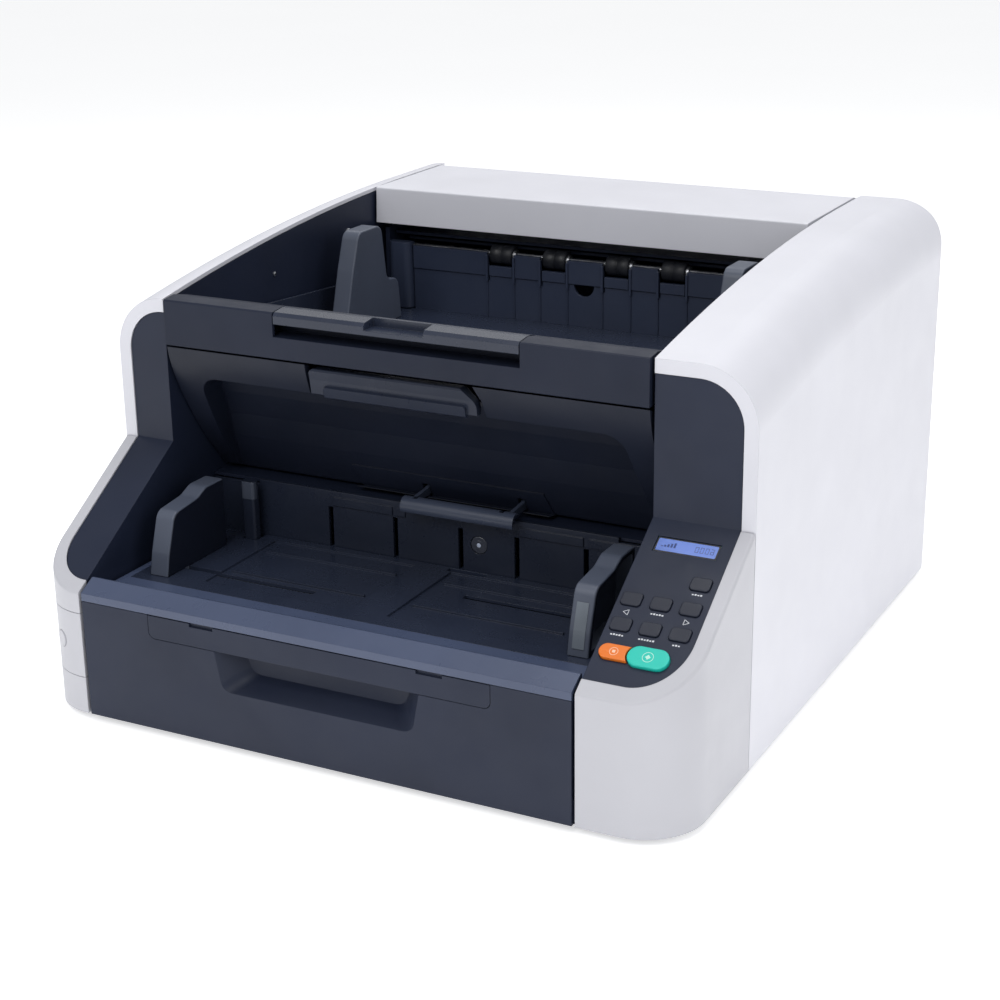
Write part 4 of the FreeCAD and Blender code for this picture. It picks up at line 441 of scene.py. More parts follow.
class ScannerColours(bpy.types.PropertyGroup):
    """Colours of the finishes."""
    shell: colour_setting("Shell", "Light outer covers", (0.76, 0.76, 0.815))
    panel: colour_setting("Panels", "Dark inner panels, beam and front", (0.017, 0.023, 0.046))
    tray: colour_setting("Trays", "Dark paper trays and walls", (0.020, 0.026, 0.046))
    guide: colour_setting("Guides", "Blue grey paper guides", (0.085, 0.100, 0.140))
    key: colour_setting("Keys", "Small console keys", (0.016, 0.020, 0.036))
    stop_key: colour_setting("Stop key", "Orange console key", (0.86, 0.20, 0.02))
    start_key: colour_setting("Start key", "Green console key", (0.015, 0.60, 0.48))
    display: colour_setting("Display", "Backlit display", (0.075, 0.145, 0.46))
    plated: colour_setting("Plated steel", "Frames, hooks and screws", (0.60, 0.61, 0.63))
    rubber: colour_setting("Rubber", "Rollers, belt and feet", (0.018, 0.018, 0.020))
    hood: colour_setting("Pickup hood", "Hood over the pickup roller", (0.050, 0.062, 0.098))
    gear: colour_setting("Gears", "Gears between the guides", (0.80, 0.79, 0.74))
    aluminium: colour_setting("Aluminium", "Camera housings and pulley", (0.75, 0.76, 0.78))
    motor: colour_setting("Motor", "Motor can", (0.03, 0.03, 0.033))
    board: colour_setting("Boards", "Solder mask", (0.02, 0.12, 0.05))
    glass: colour_setting("Glass", "Strip glass of the cameras", (0.92, 0.97, 0.96))
    shaft: colour_setting("Shafts", "Roller shafts", (0.62, 0.63, 0.65))
    bush: colour_setting("Bushes", "Roller bushes", (0.55, 0.56, 0.58))
    tyre: colour_setting("Tyres", "Rubber of the feed and exit rollers", (0.011, 0.012, 0.016))
    retard: colour_setting("Retard tyre", "Rubber of the retard roller", (0.16, 0.17, 0.19))
    bezel: colour_setting("Bezel", "Frame of the display", (0.012, 0.013, 0.017))
    digits: colour_setting("Digits", "Digits and bars of the display", (0.03, 0.06, 0.22))
    print_white: colour_setting("Key marks", "Print beside the keys", (0.70, 0.72, 0.76))
    stop_print: colour_setting("Stop icon", "Print on the orange key", (0.98, 0.62, 0.45))
    start_print: colour_setting("Start icon", "Print on the green key", (0.55, 0.88, 0.74))
    lens: colour_setting("Sensor lens", "Lens in the rear wall", (0.05, 0.055, 0.075))
    # painted glint: a pale disc in the middle of the dark lens, standing for the light it reflects
    painted_glint: colour_setting("Sensor pupil", "Middle of the lens", (0.55, 0.62, 0.78))
    strip: colour_setting("Guide strip", "Strip in the right feed guide", (0.20, 0.23, 0.27))
    screw_head: colour_setting("Screw heads", "Added screws", (0.42, 0.43, 0.45))
    # painted shade: the colour of the dark cross laid on each screw head in place of a recess
    recess_shade: colour_setting("Screw recess", "Cross recess of the screws", (0.05, 0.05, 0.06))
    # partly the black plastic inside a socket, partly painted shade for the depth of its opening
    socket: colour_setting("Sockets", "Inside of the sockets", (0.012, 0.012, 0.014))
    floor: colour_setting("Floor", "Studio floor", (0.88, 0.88, 0.88))


def length_setting(name, description, default):
    """A length in metres."""
    return bpy.props.FloatProperty(
        name=name, description=description, default=default, subtype="DISTANCE", unit="LENGTH", min=0,
        precision=5)


class DetailSizes(bpy.types.PropertyGroup):
    """Sizes of the fine pieces."""
    bezel_edge: length_setting("Bezel edge", "Width of the display's frame", 0.0011)
    mark_drop: length_setting("Mark drop", "From a small key's lower edge to its mark", 0.0036)
    arrow: length_setting("Arrow", "From an arrow's middle to its tips", 0.0024)
    stop_ring: length_setting("Stop ring", "Radius of the ring on the orange key", 0.0030)
    start_ring: length_setting("Start ring", "Radius of the ring on the green key", 0.0038)
    rear_screw: length_setting("Rear screws", "Head radius on the rear cover", 0.0034)
    wall_screw: length_setting("Wall screws", "Head radius of the two small wall screws", 0.0019)
    large_wall_screw: length_setting("Large wall screw", "Head radius of the rearmost one", 0.0031)
    strip_inset: length_setting("Strip inset", "From a guide's side to its pale strip", 0.0034)


def power_setting(name, default):
    """A light's power in watts."""
    return bpy.props.FloatProperty(
        name=name, description="Power in watts", default=default, min=0, subtype="POWER", unit="POWER")


class StageSettings(bpy.types.PropertyGroup):
    """Camera and lights."""
    lens: bpy.props.FloatProperty(
        name="Lens", description="Focal length in mm", default=71.8, min=20, max=200)
    azimuth: bpy.props.FloatProperty(
        name="Azimuth", description="Camera heading", default=math.radians(27.479), subtype="ANGLE")
    elevation: bpy.props.FloatProperty(
        name="Elevation", description="Camera height angle", default=math.radians(19.443),
        subtype="ANGLE")
    roll: bpy.props.FloatProperty(
        name="Roll", description="Camera tilt about its own axis", default=math.radians(-0.773),
        subtype="ANGLE")
    stand: bpy.props.FloatVectorProperty(
        name="Stand", description="Camera place", default=(0.6644, -1.3052, 0.6296), size=3,
        subtype="TRANSLATION")
    sky: bpy.props.FloatProperty(
        name="Sky", description="Strength of the even light", default=0.40, min=0)
    top_power: power_setting("Top light", 17)
    key_power: power_setting("Front light", 13)
    fill_power: power_setting("Side light", 6)
    back_power: power_setting("Back light", 7)
    floor_glow: bpy.props.FloatProperty(
        name="Floor glow", description="Light of the floor itself", default=0.66, min=0)


# ---------------------------------------------------------------- operators

def colours():
    """The colour settings."""
    return bpy.context.scene.scanner_colours


def sizes():
    """The size settings."""
    return bpy.context.scene.scanner_details


class ShellFinish(bpy.types.Operator):
    """Gives the light outer covers their moulded finish"""
    bl_idname = "scanner.shell_finish"
    bl_label = "Shell"

    def execute(self, context):
        shell = moulded_plastic("shell_plastic", colours().shell,
                                gloss=0.46, grain_mm=0.6, depth_mm=0.022, drift=0.02)
        dress(("left_side_cover", "right_side_cover", "rear_cover", "top_cover"), shell)
        # painted shade: the front housings, corner cover and power key are the shell's plastic at 0.74 of its
        # colour, darkened for the shade on their front faces
        front = moulded_plastic("housing_shaded_plastic", scaled(colours().shell, 0.74),
                                gloss=0.42, grain_mm=0.6, depth_mm=0.022, drift=0.025)
        dress(("left_front_housing", "right_front_housing", "left_corner_cover", "power_key"), front)
        return {"FINISHED"}


class PanelFinish(bpy.types.Operator):
    """Gives the dark panels, trays and walls their fine textured finish"""
    bl_idname = "scanner.panel_finish"
    bl_label = "Dark panels"

    def execute(self, context):
        # painted shade: the frame, beam, base pan and lower guides are the panel plastic at 0.8 of its colour,
        # darkened for the shade they lie in
        panel = moulded_plastic("shaded_panel_plastic", scaled(colours().panel, 0.8),
                                gloss=0.44, grain_mm=0.5, depth_mm=0.04, drift=0.10, shine=0.26)
        dress(("unit_frame", "unit_beam", "base_pan", "turn_guide", "lower_paper_guide"), panel)
        inner = moulded_plastic("inner_panel_plastic", colours().panel,
                                gloss=0.4, grain_mm=0.5, depth_mm=0.03, drift=0.10, shine=0.3)
        dress(("left_inner_panel", "right_inner_panel"), inner)
        # painted shade: the fascia is the panel plastic at 0.6 of its colour, darkened for the shade in its
        # recessed pocket
        fascia_shade = moulded_plastic("fascia_shaded_plastic", scaled(colours().panel, 0.6),
                               gloss=0.46, grain_mm=0.5, depth_mm=0.04, drift=0.10, shine=0.32)
        dress(("unit_fascia",), fascia_shade)
        # painted shade: the input rear wall is the tray plastic at 0.9 of its colour, darkened for the shade at
        # the back of the input bay
        back = moulded_plastic("rear_wall_shaded_plastic", scaled(colours().tray, 0.9),
                               gloss=0.3, grain_mm=0.5, depth_mm=0.03, drift=0.10)
        dress(("input_rear_wall",), back)
        front = moulded_plastic("front_plastic", colours().panel,
                                gloss=0.46, grain_mm=0.5, depth_mm=0.03, drift=0.08, shine=0.3)
        dress(("front_panel", "tray_extension"), front)
        tray = moulded_plastic("tray_plastic", scaled(colours().tray, 1.2),
                               gloss=0.26, grain_mm=0.45, depth_mm=0.015, drift=0.10)
        dress(("lift_table", "output_tray", "stopper_flap"), tray)
        # painted highlight: the input tray is the tray plastic at 3.4 times its colour, lightened for the light
        # glancing off its sloped front lip
        lip = moulded_plastic("lip_highlight_plastic", scaled(colours().tray, 3.4),
                              gloss=0.3, grain_mm=0.45, depth_mm=0.012, drift=0.06)
        dress(("input_tray",), lip)
        # painted light: the exit wall is the tray plastic at 1.7 times its colour, lightened for the light falling
        # into the exit bay
        wall = moulded_plastic("wall_plastic", scaled(colours().tray, 1.7),
                               gloss=0.34, grain_mm=0.45, depth_mm=0.03, drift=0.08)
        dress(("exit_wall",), wall)
        handle = moulded_plastic("handle_plastic", colours().tray,
                                 gloss=0.3, grain_mm=0.5, depth_mm=0.02, drift=0.10, shine=0.3)
        dress(("latch_handle",), handle)
        return {"FINISHED"}


class GuideFinish(bpy.types.Operator):
    """Gives the paper guides and the pickup hood their satin finish"""
    bl_idname = "scanner.guide_finish"
    bl_label = "Paper guides"

    def execute(self, context):
        guide = moulded_plastic("guide_plastic", colours().guide,
                                gloss=0.38, grain_mm=0.5, depth_mm=0.02, drift=0.08)
        dress(("input_guide_left", "input_guide_right",
               "output_guide_left", "output_guide_right"), guide)
        hood = moulded_plastic("hood_plastic", colours().hood,
                               gloss=0.32, grain_mm=0.5, depth_mm=0.015, drift=0.06)
        dress(("pickup_arm",), hood)
        gear = moulded_plastic("acetal", colours().gear,
                               gloss=0.35, grain_mm=0.8, depth_mm=0.01, drift=0.03)
        dress(("input_pinion", "output_pinion"), gear)
        return {"FINISHED"}


class MetalFinish(bpy.types.Operator):
    """Gives the frames, hooks, screws and camera housings their metal finishes"""
    bl_idname = "scanner.metal_finish"
    bl_label = "Metal parts"

    def execute(self, context):
        plated = plated_sheet("plated_steel", colours().plated)
        dress(("left_side_frame", "right_side_frame", "latch_hooks"), plated)
        dress(("case_screws",), drawn_metal("screw_steel", colours().plated, (1, 1, 0.1), 0.3))
        dress(("lower_camera", "upper_camera", "motor_pulley"),
              drawn_metal("extruded_aluminium", colours().aluminium, (0.03, 1, 1), 0.34))
        paint = moulded_plastic("motor_paint", colours().motor,
                                gloss=0.4, grain_mm=0.9, depth_mm=0.05, drift=0.12)
        dress(("drive_motor",), paint)
        return {"FINISHED"}


class RollerFinish(bpy.types.Operator):
    """Gives the rollers, the belt and the feet their rubber"""
    bl_idname = "scanner.roller_finish"
    bl_label = "Rollers, belt and feet"

    def execute(self, context):
        rubber = ground_rubber("roller_rubber", colours().rubber)
        dress(("exit_roller", "transport_roller", "retard_roller", "feed_roller", "pickup_roller",
               "rubber_feet", "drive_belt"), rubber)
        return {"FINISHED"}


class ConsoleFinish(bpy.types.Operator):
    """Gives the keys, the display, the boards and the glass strips their finishes"""
    bl_idname = "scanner.console_finish"
    bl_label = "Console"

    def execute(self, context):
        small = moulded_plastic("key_plastic", colours().key,
                                gloss=0.42, grain_mm=0.4, depth_mm=0.02, drift=0.08, shine=0.4)
        dress(SMALL_KEYS, small)
        stop = moulded_plastic("stop_key_plastic", colours().stop_key,
                               gloss=0.3, grain_mm=0.4, depth_mm=0.01, drift=0.03)
        dress(("stop_key",), stop)
        start = moulded_plastic("start_key_plastic", colours().start_key,
                                gloss=0.3, grain_mm=0.4, depth_mm=0.01, drift=0.03)
        dress(("start_key",), start)
        dress(("console_board", "control_board"), solder_mask("solder_mask", colours().board))
        dress(("lower_glass", "upper_glass"), clear_glass("strip_glass", colours().glass))
        return {"FINISHED"}


class RollerPieces(bpy.types.Operator):
    """Builds the rollers with drawn shafts, grooved rubber tyres and bushes"""
    bl_idname = "scanner.roller_pieces"
    bl_label = "Roller details"

    def execute(self, context):
        shaft = drawn_metal("shaft_steel", colours().shaft, (0.05, 1, 1), 0.24)
        bush = drawn_metal("bush_steel", colours().bush, (1, 0.2, 1), 0.3)
        tyre = ground_rubber("tyre_rubber", colours().tyre, 0.3)
        grey = ground_rubber("retard_rubber", colours().retard, 0.3)
        for node, body, rubber in (("exit_roller", "exit", tyre), ("feed_roller", "feed", tyre),
                                   ("pickup_roller", "pick", tyre), ("retard_roller", "retard", grey)):
            roller_shape(node, shaft, rubber, bush, body)
        return {"FINISHED"}


class DisplayPieces(bpy.types.Operator):
    """Builds the display's bezel, lit window and counter digits"""
    bl_idname = "scanner.display_pieces"
    bl_label = "Display"

    def execute(self, context):
        axes = console_axes()
        origin, across, along, out = axes
        points = [p - origin for p in corners_of("console_board")]
        top = max(p.dot(out) for p in points)
        face = [p for p in points if p.dot(out) > top - 0.2 * MM]
        xs = [p.dot(across) for p in face]
        us = [p.dot(along) for p in face]
        x0, x1, u0, u1 = min(xs), max(xs), min(us), max(us)
        edge = sizes().bezel_edge
        window_top = top + 0.3 * MM
        bm = bmesh.new()
        plate(bm, axes, (x0, x1), (u0, u1), (top - 0.1 * MM, top + 0.15 * MM), 1.2 * MM)
        plate(bm, axes, (x0 + edge, x1 - edge), (u0 + edge, u1 - edge), (top, window_top), 0.8 * MM, 1)
        bezel = moulded_plastic("bezel_plastic", colours().bezel,
                                gloss=0.3, grain_mm=0.4, depth_mm=0.01, drift=0.05, edge_mm=0.3)
        add_piece("display_window", bm, (bezel, lit_display("display_light", colours().display)),
                  "chassis")
        ink = moulded_plastic("display_ink", colours().digits,
                              gloss=0.3, grain_mm=0.5, depth_mm=0.004, drift=0.05, edge_mm=0.1)
        bm = bmesh.new()
        middle = (u0 + u1) / 2
        ink_rise = (window_top - SINK, window_top + 4 * SINK)
        last, pitch = x1 - 4.2 * MM, 3.6 * MM
        for k in range(4):
            self.digit(bm, axes, last - (3 - k) * pitch, middle, (1, 1, 0, 1, 1, 1, 1) if k < 3
                       else (1, 1, 1, 1, 1, 0, 1), ink_rise)
        foot, pitch, step = middle - 1.6 * MM, 2.2 * MM, 0.8 * MM
        for k in range(5):
            x = x0 + 4 * MM + k * pitch
            plate(bm, axes, (x, x + 1.4 * MM), (foot, foot + step * (k + 1)), ink_rise)
        add_piece("display_digits", bm, (ink,), "chassis")
        return {"FINISHED"}

    def digit(self, bm, axes, x, u, shown, rise):
        """A seven bar digit, shown as top, upper right, middle, foot, and then the other three bars."""
        width, height, bar = 1.2 * MM, 2.3 * MM, 0.4 * MM     # the first two are halves
        wide = (x - width, x + width)
        left, right = (x - width, x - width + bar), (x + width - bar, x + width)
        upper, lower = (u + bar / 2, u + height - bar), (u - height + bar, u - bar / 2)
        top, middle, foot = ((v, v + bar) for v in (u + height - bar, u - bar / 2, u - height))
        strokes = ((wide, top), (right, upper), (wide, middle), (wide, foot),
                   (left, lower), (left, upper), (right, lower))
        for on, (sx, su) in zip(shown, strokes):
            if on:
                plate(bm, axes, sx, su, rise)


class ConsoleMarks(bpy.types.Operator):
    """Prints plain marks by the keys and icons on the two large keys"""
    bl_idname = "scanner.console_marks"
    bl_label = "Console marks"

    def execute(self, context):
        axes = console_axes()
        origin, across, along, out = axes
        level = console_level(axes)
        print_rise = (level - SINK, level + PRINT)
        ink = moulded_plastic("print_white", colours().print_white,
                              gloss=0.5, grain_mm=0.5, depth_mm=0.004, drift=0.04, edge_mm=0.1)
        bm = bmesh.new()
        pitch, dot = 1.9 * MM, (0.3 * MM, 1.6 * MM)        # of the dots in a mark
        middles = {}
        for node, dots in zip(SMALL_KEYS, MARK_DOTS):
            (x0, x1), (u0, u1), _ = spans(node, axes)
            middles[node] = ((x0 + x1) / 2, (u0 + u1) / 2)
            x = (x0 + x1) / 2 - dots * pitch / 2
            u = u0 - sizes().mark_drop
            for k in range(dots):
                tall = 1.3 * MM if k % 2 else 1.0 * MM
                start = x + k * pitch
                plate(bm, axes, (start + dot[0], start + dot[1]), (u, u + tall), print_rise)
        reach, stroke = sizes().arrow, (-0.2 * MM, 0.2 * MM)
        for upper, lower, way in (("back_key", "count_key", -1), ("next_key", "end_key", 1)):
            x = (middles[upper][0] + middles[lower][0]) / 2
            u = (middles[upper][1] + middles[lower][1]) / 2
            spot = origin + across * x + along * u
            points = [spot + across * way * reach * math.cos(a) + along * reach * math.sin(a)
                      for a in (0, math.tau / 3, 2 * math.tau / 3)]
            for start, end in zip(points, points[1:] + points[:1]):
                ahead = (end - start).normalized()
                side = (start, ahead, out.cross(ahead), out)
                plate(bm, side, (0, (end - start).length), stroke, print_rise)
        add_piece("key_marks", bm, (ink,), "chassis")
        stop = (sizes().stop_ring, colours().stop_print)
        start = (sizes().start_ring, colours().start_print)
        self.large_key("stop_key", "stop_button", *stop, axes, "key_orange")
        self.large_key("start_key", "start_button", *start, axes, "key_green")
        return {"FINISHED"}

    def large_key(self, node, body, radius, colour, axes, slot):
        """A printed ring with a square or a diamond in it, on a large key."""
        origin, across, along, out = axes
        (x0, x1), (u0, u1), (_, face) = spans(node, axes)
        spot = origin + across * (x0 + x1) / 2 + along * (u0 + u1) / 2 + out * face
        inner = radius - 0.4 * MM
        bm = bmesh.new()
        turned(bm, [(-SINK, inner), (PRINT, inner), (PRINT, radius), (-SINK, radius)], spot, out, 40)
        if node == "start_key":
            tip = radius * 0.5
            look = Matrix((across, along, out)).transposed().to_4x4()
            bmesh.ops.create_cone(bm, cap_ends=True, segments=4, radius1=tip, radius2=tip,
                                  depth=2 * PRINT, matrix=Matrix.Translation(spot) @ look)
        else:
            half = (-radius * 0.35, radius * 0.35)
            plate(bm, (spot, across, along, out), half, half, (-SINK, PRINT))
        paint = moulded_plastic(node + "_print", colour,
                                gloss=0.45, grain_mm=0.5, depth_mm=0.004, drift=0.04, edge_mm=0.1)
        add_piece(node + ".icon", bm, (paint,), body)


class PaperPathPieces(bpy.types.Operator):
    """Builds the sensor lens with its painted glint, the post's sleeve, and the dark plates of painted shade and
    pale strip of the guides
    """
    bl_idname = "scanner.paper_path_pieces"
    bl_label = "Sensor, sleeve and guide faces"

    def execute(self, context):
        spot = round_pocket("input_rear_wall")
        lens = moulded_plastic("lens_plastic", colours().lens,
                               gloss=0.1, grain_mm=3.0, depth_mm=0.002, drift=0.05, edge_mm=0.2, shine=1.0)
        self.lens_part("sensor_lens", spot, lens, 48, (
            (0.0, AXIS), (0.0, 6.6 * MM), (1.1 * MM, 6.6 * MM), (1.4 * MM, 6.2 * MM),
            (1.1 * MM, 5.2 * MM), (1.6 * MM, 3.4 * MM), (1.9 * MM, AXIS)))
        # painted glint: the pale middle of the lens stands for its reflection
        painted_glint = moulded_plastic("lens_painted_glint", colours().painted_glint,
                                gloss=0.12, grain_mm=2.0, depth_mm=0.002, drift=0.2, edge_mm=0.1, shine=1.0)
        self.lens_part("sensor_painted_glint", spot, painted_glint, 32, (
            (1.8 * MM, AXIS), (1.8 * MM, 1.7 * MM), (2.2 * MM, 1.3 * MM), (2.4 * MM, AXIS)))
        self.post_sleeve()
        # painted shade: near black plates laid over the guides' fins, where only shade falls
        dark = moulded_plastic("shade_plate_plastic", scaled(colours().panel, 0.45),
                               gloss=0.34, grain_mm=0.5, depth_mm=0.02, drift=0.1)
        for side in ("left", "right"):
            self.shade_plates("input_guide_" + side, "in_guide_" + side, dark)
        strip = moulded_plastic("strip_plastic", colours().strip,
                                gloss=0.28, grain_mm=0.5, depth_mm=0.01, drift=0.3, edge_mm=0.2)
        self.front_strip("guide_strip", "input_guide_right", "in_guide_right", strip)
        return {"FINISHED"}

    def lens_part(self, name, spot, finish, steps, profile):
        """A turned part of the sensor, its outline running forwards from the pocket's floor."""
        bm = bmesh.new()
        turned(bm, list(profile), spot, (0, -1, 0), steps)
        add_piece(name, bm, (finish,), "chassis")

    def post_sleeve(self):
        """A satin sleeve on the front of the rear wall's corner post."""
        low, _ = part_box("input_rear_wall")
        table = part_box("lift_table")[1][2]
        nose, proud = 2.2 * MM, 0.2 * MM
        post = [p for p in corners_of("input_rear_wall") if p.y < low[1] + nose and p.z > table]
        xs, head = [p.x for p in post], max(p.z for p in post)
        axes = (Vector((0, 0, 0)), Vector((1, 0, 0)), Vector((0, 1, 0)), Vector((0, 0, 1)))
        raised_table = table + 32 * MM
        bm = bmesh.new()
        plate(bm, axes, (min(xs) - proud, max(xs) + proud), (low[1] - proud, low[1] + 6 * MM),
              (raised_table, head - 0.3 * MM), nose)
        finish = moulded_plastic("sleeve_plastic", scaled(colours().guide, 0.8),
                                 gloss=0.34, grain_mm=0.5, depth_mm=0.02, drift=0.06)
        add_piece("post_sleeve", bm, (finish,), "chassis")

    def shade_plates(self, node, body, finish):
        """Thin dark plates of painted shade on both flat faces of a guide's fin."""
        mesh = frame["nodes"][node].data
        low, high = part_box(node)
        fin_depth, foot_height = 20 * MM, 8 * MM
        lift, thickness = 0.22 * MM, 0.2 * MM
        fin = [v.co.x for v in mesh.vertices if v.co.z > high[2] - fin_depth]
        for name, x, way in (("low", min(fin), -1), ("high", max(fin), 1)):
            bm = bmesh.new()
            bm.from_mesh(mesh)
            away = [f for f in bm.faces if f.normal.x * way < 0.99
                    or abs(f.calc_center_median().x - x) > 0.1 * MM
                    or min(v.co.z for v in f.verts) < low[2] + foot_height]
            bmesh.ops.delete(bm, geom=away, context="FACES")
            bmesh.ops.remove_doubles(bm, verts=bm.verts, dist=WELD)
            bmesh.ops.translate(bm, verts=bm.verts, vec=(way * lift, 0, 0))
            bmesh.ops.solidify(bm, geom=list(bm.faces), thickness=thickness)
            add_piece("%s.shade_plate_%s" % (node, name), bm, (finish,), body)

    def front_strip(self, name, node, body, finish):
        """A pale strip laid on the front edge of a guide's fin, following it down by rays."""
        low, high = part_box(node)
        inset, foot, step, proud = sizes().strip_inset, high[2] - 48 * MM, 3 * MM, 0.3 * MM
        fin = [p.x for p in corners_of(node) if p.z > foot + step]
        x0, x1 = min(fin), max(fin)
        path = []
        for k in range(11):
            start = Vector(((x0 + x1) / 2, low[1] - 50 * MM, foot + k * step))
            hit, spot, normal, _ = frame["nodes"][node].ray_cast(start, Vector((0, 1, 0)))
            if not hit:
                raise RuntimeError("the front edge of %s was missed" % node)
            path.append(spot + normal * proud)
        bm = bmesh.new()
        ring = bmesh.ops.create_grid(bm, x_segments=1, y_segments=len(path) - 1, size=0.5)["verts"]
        rows = sorted(ring, key=lambda v: (round(v.co.y, 4), v.co.x))
        for k, vert in enumerate(rows):
            spot = path[k // 2]
            vert.co = (x1 - inset if k % 2 else x0 + inset, spot.y, spot.z)
        bmesh.ops.solidify(bm, geom=list(bm.faces), thickness=0.5 * MM)
        add_piece(name, bm, (finish,), body)


class CaseScrews(bpy.types.Operator):
    """Builds the screws of the inner walls and of the rear cover"""
    bl_idname = "scanner.case_screw_pieces"
    bl_label = "Screws"

    def execute(self, context):
        steel = drawn_metal("screw_head_steel", colours().screw_head, (1, 1, 0.3), 0.3)
        # painted shade of the cross recess, laid on the head as a dark plate
        dark = drawn_metal("screw_recess_shade", colours().recess_shade, (1, 1, 0.3), 0.5)
        tray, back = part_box("output_tray")[1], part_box("rear_cover")
        # millimetres ahead of the tray's rear end and over its top edge
        ahead_and_over_mm = ((52.4, 24.0), (165.4, 11.6), (253.4, 0.0))
        for k, (ahead, over) in enumerate(ahead_and_over_mm):
            radius = sizes().wall_screw if k else sizes().large_wall_screw
            spot = self.wall_spot("left_inner_panel", tray[1] - ahead * MM, tray[2] + over * MM)
            screw("wall_screw_%d" % k, spot, (1, 0, 0), radius, (steel, dark), "chassis")
        in_x, above_foot, under_top = 12 * MM, 12 * MM, 20 * MM
        corners = [(x, z) for z in (back[0][2] + above_foot, back[1][2] - under_top)
                   for x in (back[0][0] + in_x, back[1][0] - in_x)]
        for k, (x, z) in enumerate(corners):
            spot = (x, back[1][1], z)
            screw("rear_screw_%d" % k, spot, (0, 1, 0), sizes().rear_screw, (steel, dark), "chassis")
        self.sockets(steel)
        return {"FINISHED"}

    def sockets(self, steel):
        """Steel shells with a dark cavity and a tongue, round the two sockets behind the rear cover; the cavity is
        a shallow dark plate, black plastic with painted shade for its depth.
        """
        dark = moulded_plastic("socket_shaded_plastic", colours().socket,
                               gloss=0.4, grain_mm=0.4, depth_mm=0.02, drift=0.1)
        across, up, out = Vector((-1, 0, 0)), Vector((0, 0, 1)), Vector((0, 1, 0))
        places = {m["name"]: m["pos_m"] for m in frame["record"]["mounts"] if m["kind"] == "other"}
        half_sizes = {"data_socket": (6.2 * MM, 5.6 * MM), "power_inlet": (5.8 * MM, 5.2 * MM)}
        wall, rise = 0.5 * MM, (-1 * MM, 0.4 * MM)
        for name, (half_w, half_h) in half_sizes.items():
            spot = Vector(places[name])
            spot.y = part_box("control_board")[1][1]
            axes = (spot, across, up, out)
            inner_w, inner_h = half_w - wall, half_h - wall
            bm = bmesh.new()
            wide, tall = (-half_w, half_w), (-half_h, half_h)
            for xs, zs in ((wide, (inner_h, half_h)), (wide, (-half_h, -inner_h)),
                           ((-half_w, -inner_w), tall), ((inner_w, half_w), tall)):
                plate(bm, axes, xs, zs, rise)
            # a shallow dark plate fills the opening: black plastic with painted shade for the cavity's depth
            plate(bm, axes, (-inner_w, inner_w), (-inner_h, inner_h), (rise[0], 0.08 * MM), slot=1)
            if name == "data_socket":
                tongue = inner_w * 0.6
                plate(bm, axes, (-tongue, tongue), (-1.2 * MM, 1.2 * MM), (0.0, rise[1]), 0.3 * MM)
            else:
                turned(bm, [(0.0, AXIS), (0.0, 1.1 * MM), (rise[1], 0.9 * MM), (rise[1], AXIS)],
                       spot, out, 20)
            add_piece(name + ".shell", bm, (steel, dark), "chassis")

    def wall_spot(self, node, y, z):
        """Where a ray from the middle of the opening meets the left wall."""
        low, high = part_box("output_tray")
        start = Vector(((low[0] + high[0]) / 2, y, z))
        hit, spot, _, _ = frame["nodes"][node].ray_cast(start, Vector((-1, 0, 0)))
        if not hit:
            raise RuntimeError("no face of %s beside the tray" % node)
        return (spot.x, y, z)


def area_light(name, place, aim, size, power):
    """A soft rectangular light that faces a point."""
    lamp = bpy.data.lights.new(name, "AREA")
    lamp.shape = "RECTANGLE"
    lamp.size, lamp.size_y = size
    lamp.energy = power
    light = bpy.data.objects.new(name, lamp)
    bpy.context.scene.collection.objects.link(light)
    light.location = place
    light.rotation_euler = (Vector(aim) - Vector(place)).to_track_quat("-Z", "Y").to_euler()


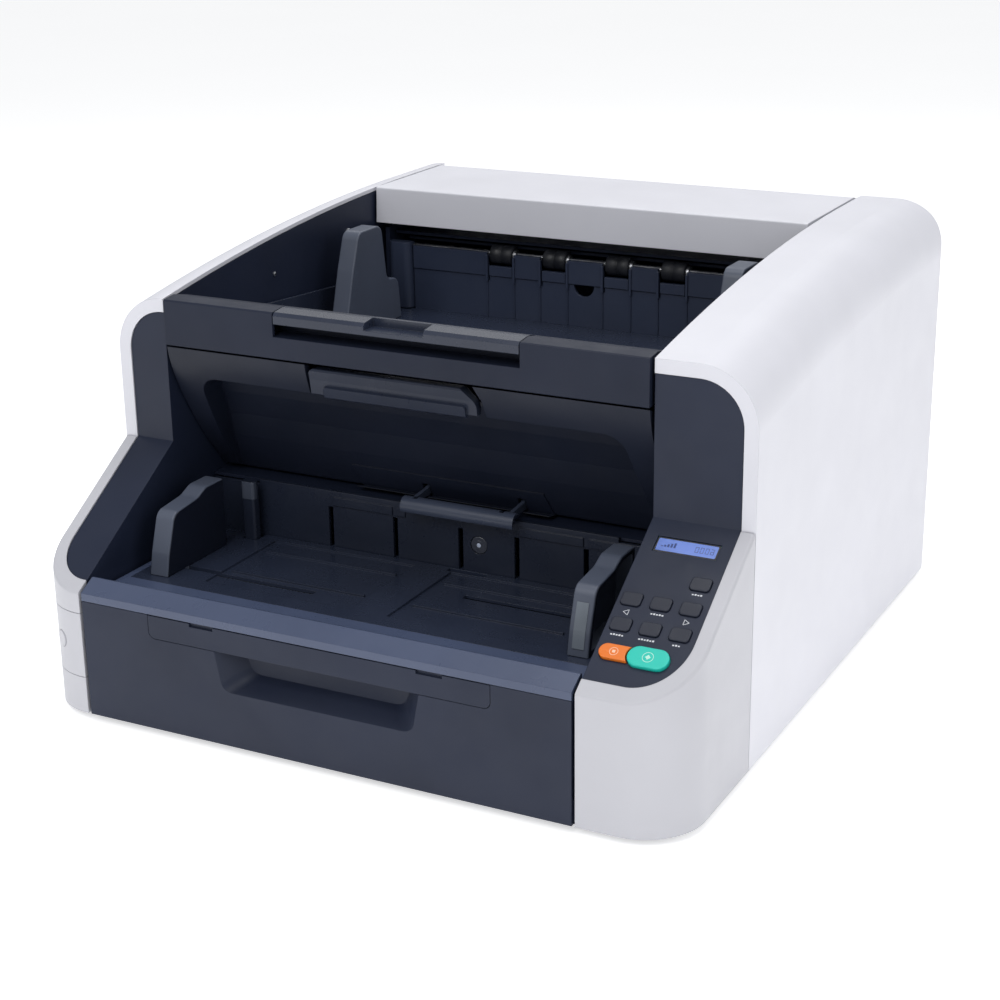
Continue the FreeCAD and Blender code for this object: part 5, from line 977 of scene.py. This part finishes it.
class BuildStage(bpy.types.Operator):
    """Adds the floor, the soft lights and the camera"""
    bl_idname = "scanner.build_stage"
    bl_label = "Stage"

    def execute(self, context):
        stage = context.scene.scanner_stage
        bm = bmesh.new()
        bmesh.ops.create_grid(bm, x_segments=2, y_segments=2, size=FLOOR_HALF)
        mesh = bpy.data.meshes.new("floor")
        bm.to_mesh(mesh)
        bm.free()
        floor = bpy.data.objects.new("floor", mesh)
        mesh.materials.append(pale_floor("floor_paint", colours().floor, stage.floor_glow))
        context.scene.collection.objects.link(floor)
        world = bpy.data.worlds.new("studio_sky")
        world.use_nodes = True
        sky = world.node_tree.nodes["Background"]
        sky.inputs["Color"].default_value = (0.95, 0.97, 1.0, 1)
        sky.inputs["Strength"].default_value = stage.sky
        context.scene.world = world
        for name, place, aim_height, size, power in (
                ("top_light", (0.1, 0.1, 2.2), 0.2, (1.3, 1.3), stage.top_power),
                ("front_light", (-0.2, -1.6, 1.7), 0.2, (1.2, 1.2), stage.key_power),
                ("side_light", (2.0, -0.5, 1.1), 0.15, (1.4, 1.2), stage.fill_power),
                ("back_light", (-0.6, 1.6, 1.7), 0.3, (1.8, 1.0), stage.back_power)):
            area_light(name, place, (0, 0, aim_height), size, power)
        self.place_camera(context, stage)
        context.scene.view_settings.view_transform = "Standard"
        return {"FINISHED"}

    def place_camera(self, context, stage):
        """Adds the camera from its heading, height angle, roll and place."""
        heading, height = stage.azimuth, stage.elevation
        ahead = Vector((-math.sin(heading) * math.cos(height), math.cos(heading) * math.cos(height),
                        -math.sin(height)))
        right = Vector((math.cos(heading), math.sin(heading), 0))
        turn = Matrix.Rotation(-stage.roll, 3, ahead)
        right = turn @ right
        above = right.cross(ahead)
        view = Matrix((right, above, -ahead)).transposed().to_4x4()
        lens = bpy.data.cameras.new("camera")
        lens.lens = stage.lens
        lens.clip_end = 50
        camera = bpy.data.objects.new("camera", lens)
        camera.matrix_world = Matrix.Translation(stage.stand) @ view
        context.scene.collection.objects.link(camera)
        context.scene.camera = camera


OPERATORS = (ShellFinish, PanelFinish, GuideFinish, MetalFinish, RollerFinish, ConsoleFinish,
             RollerPieces, DisplayPieces, ConsoleMarks, PaperPathPieces, CaseScrews, BuildStage)


class ScannerPanel(bpy.types.Panel):
    """Lists the settings and the steps in order"""
    bl_idname = "VIEW3D_PT_scanner"
    bl_label = "Sheet Fed Scanner"
    bl_space_type = "VIEW_3D"
    bl_region_type = "UI"
    bl_category = "Scanner"

    def draw(self, context):
        scene = context.scene
        for group in (scene.scanner_colours, scene.scanner_details, scene.scanner_stage):
            box = self.layout.box()
            for name in group.__annotations__:
                box.prop(group, name)
        for step in OPERATORS:
            self.layout.operator(step.bl_idname)


CLASSES = (ScannerColours, DetailSizes, StageSettings, *OPERATORS, ScannerPanel)


def register():
    """Registers the classes and their settings."""
    for item in CLASSES:
        bpy.utils.register_class(item)
    bpy.types.Scene.scanner_colours = bpy.props.PointerProperty(type=ScannerColours)
    bpy.types.Scene.scanner_details = bpy.props.PointerProperty(type=DetailSizes)
    bpy.types.Scene.scanner_stage = bpy.props.PointerProperty(type=StageSettings)


def unregister():
    """Removes the classes and their settings."""
    del bpy.types.Scene.scanner_stage
    del bpy.types.Scene.scanner_details
    del bpy.types.Scene.scanner_colours
    for item in reversed(CLASSES):
        bpy.utils.unregister_class(item)


def main():
    """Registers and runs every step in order."""
    register()
    for step in OPERATORS:
        area, name = step.bl_idname.split(".")
        getattr(getattr(bpy.ops, area), name)()


if __name__ == "__main__":
    main()
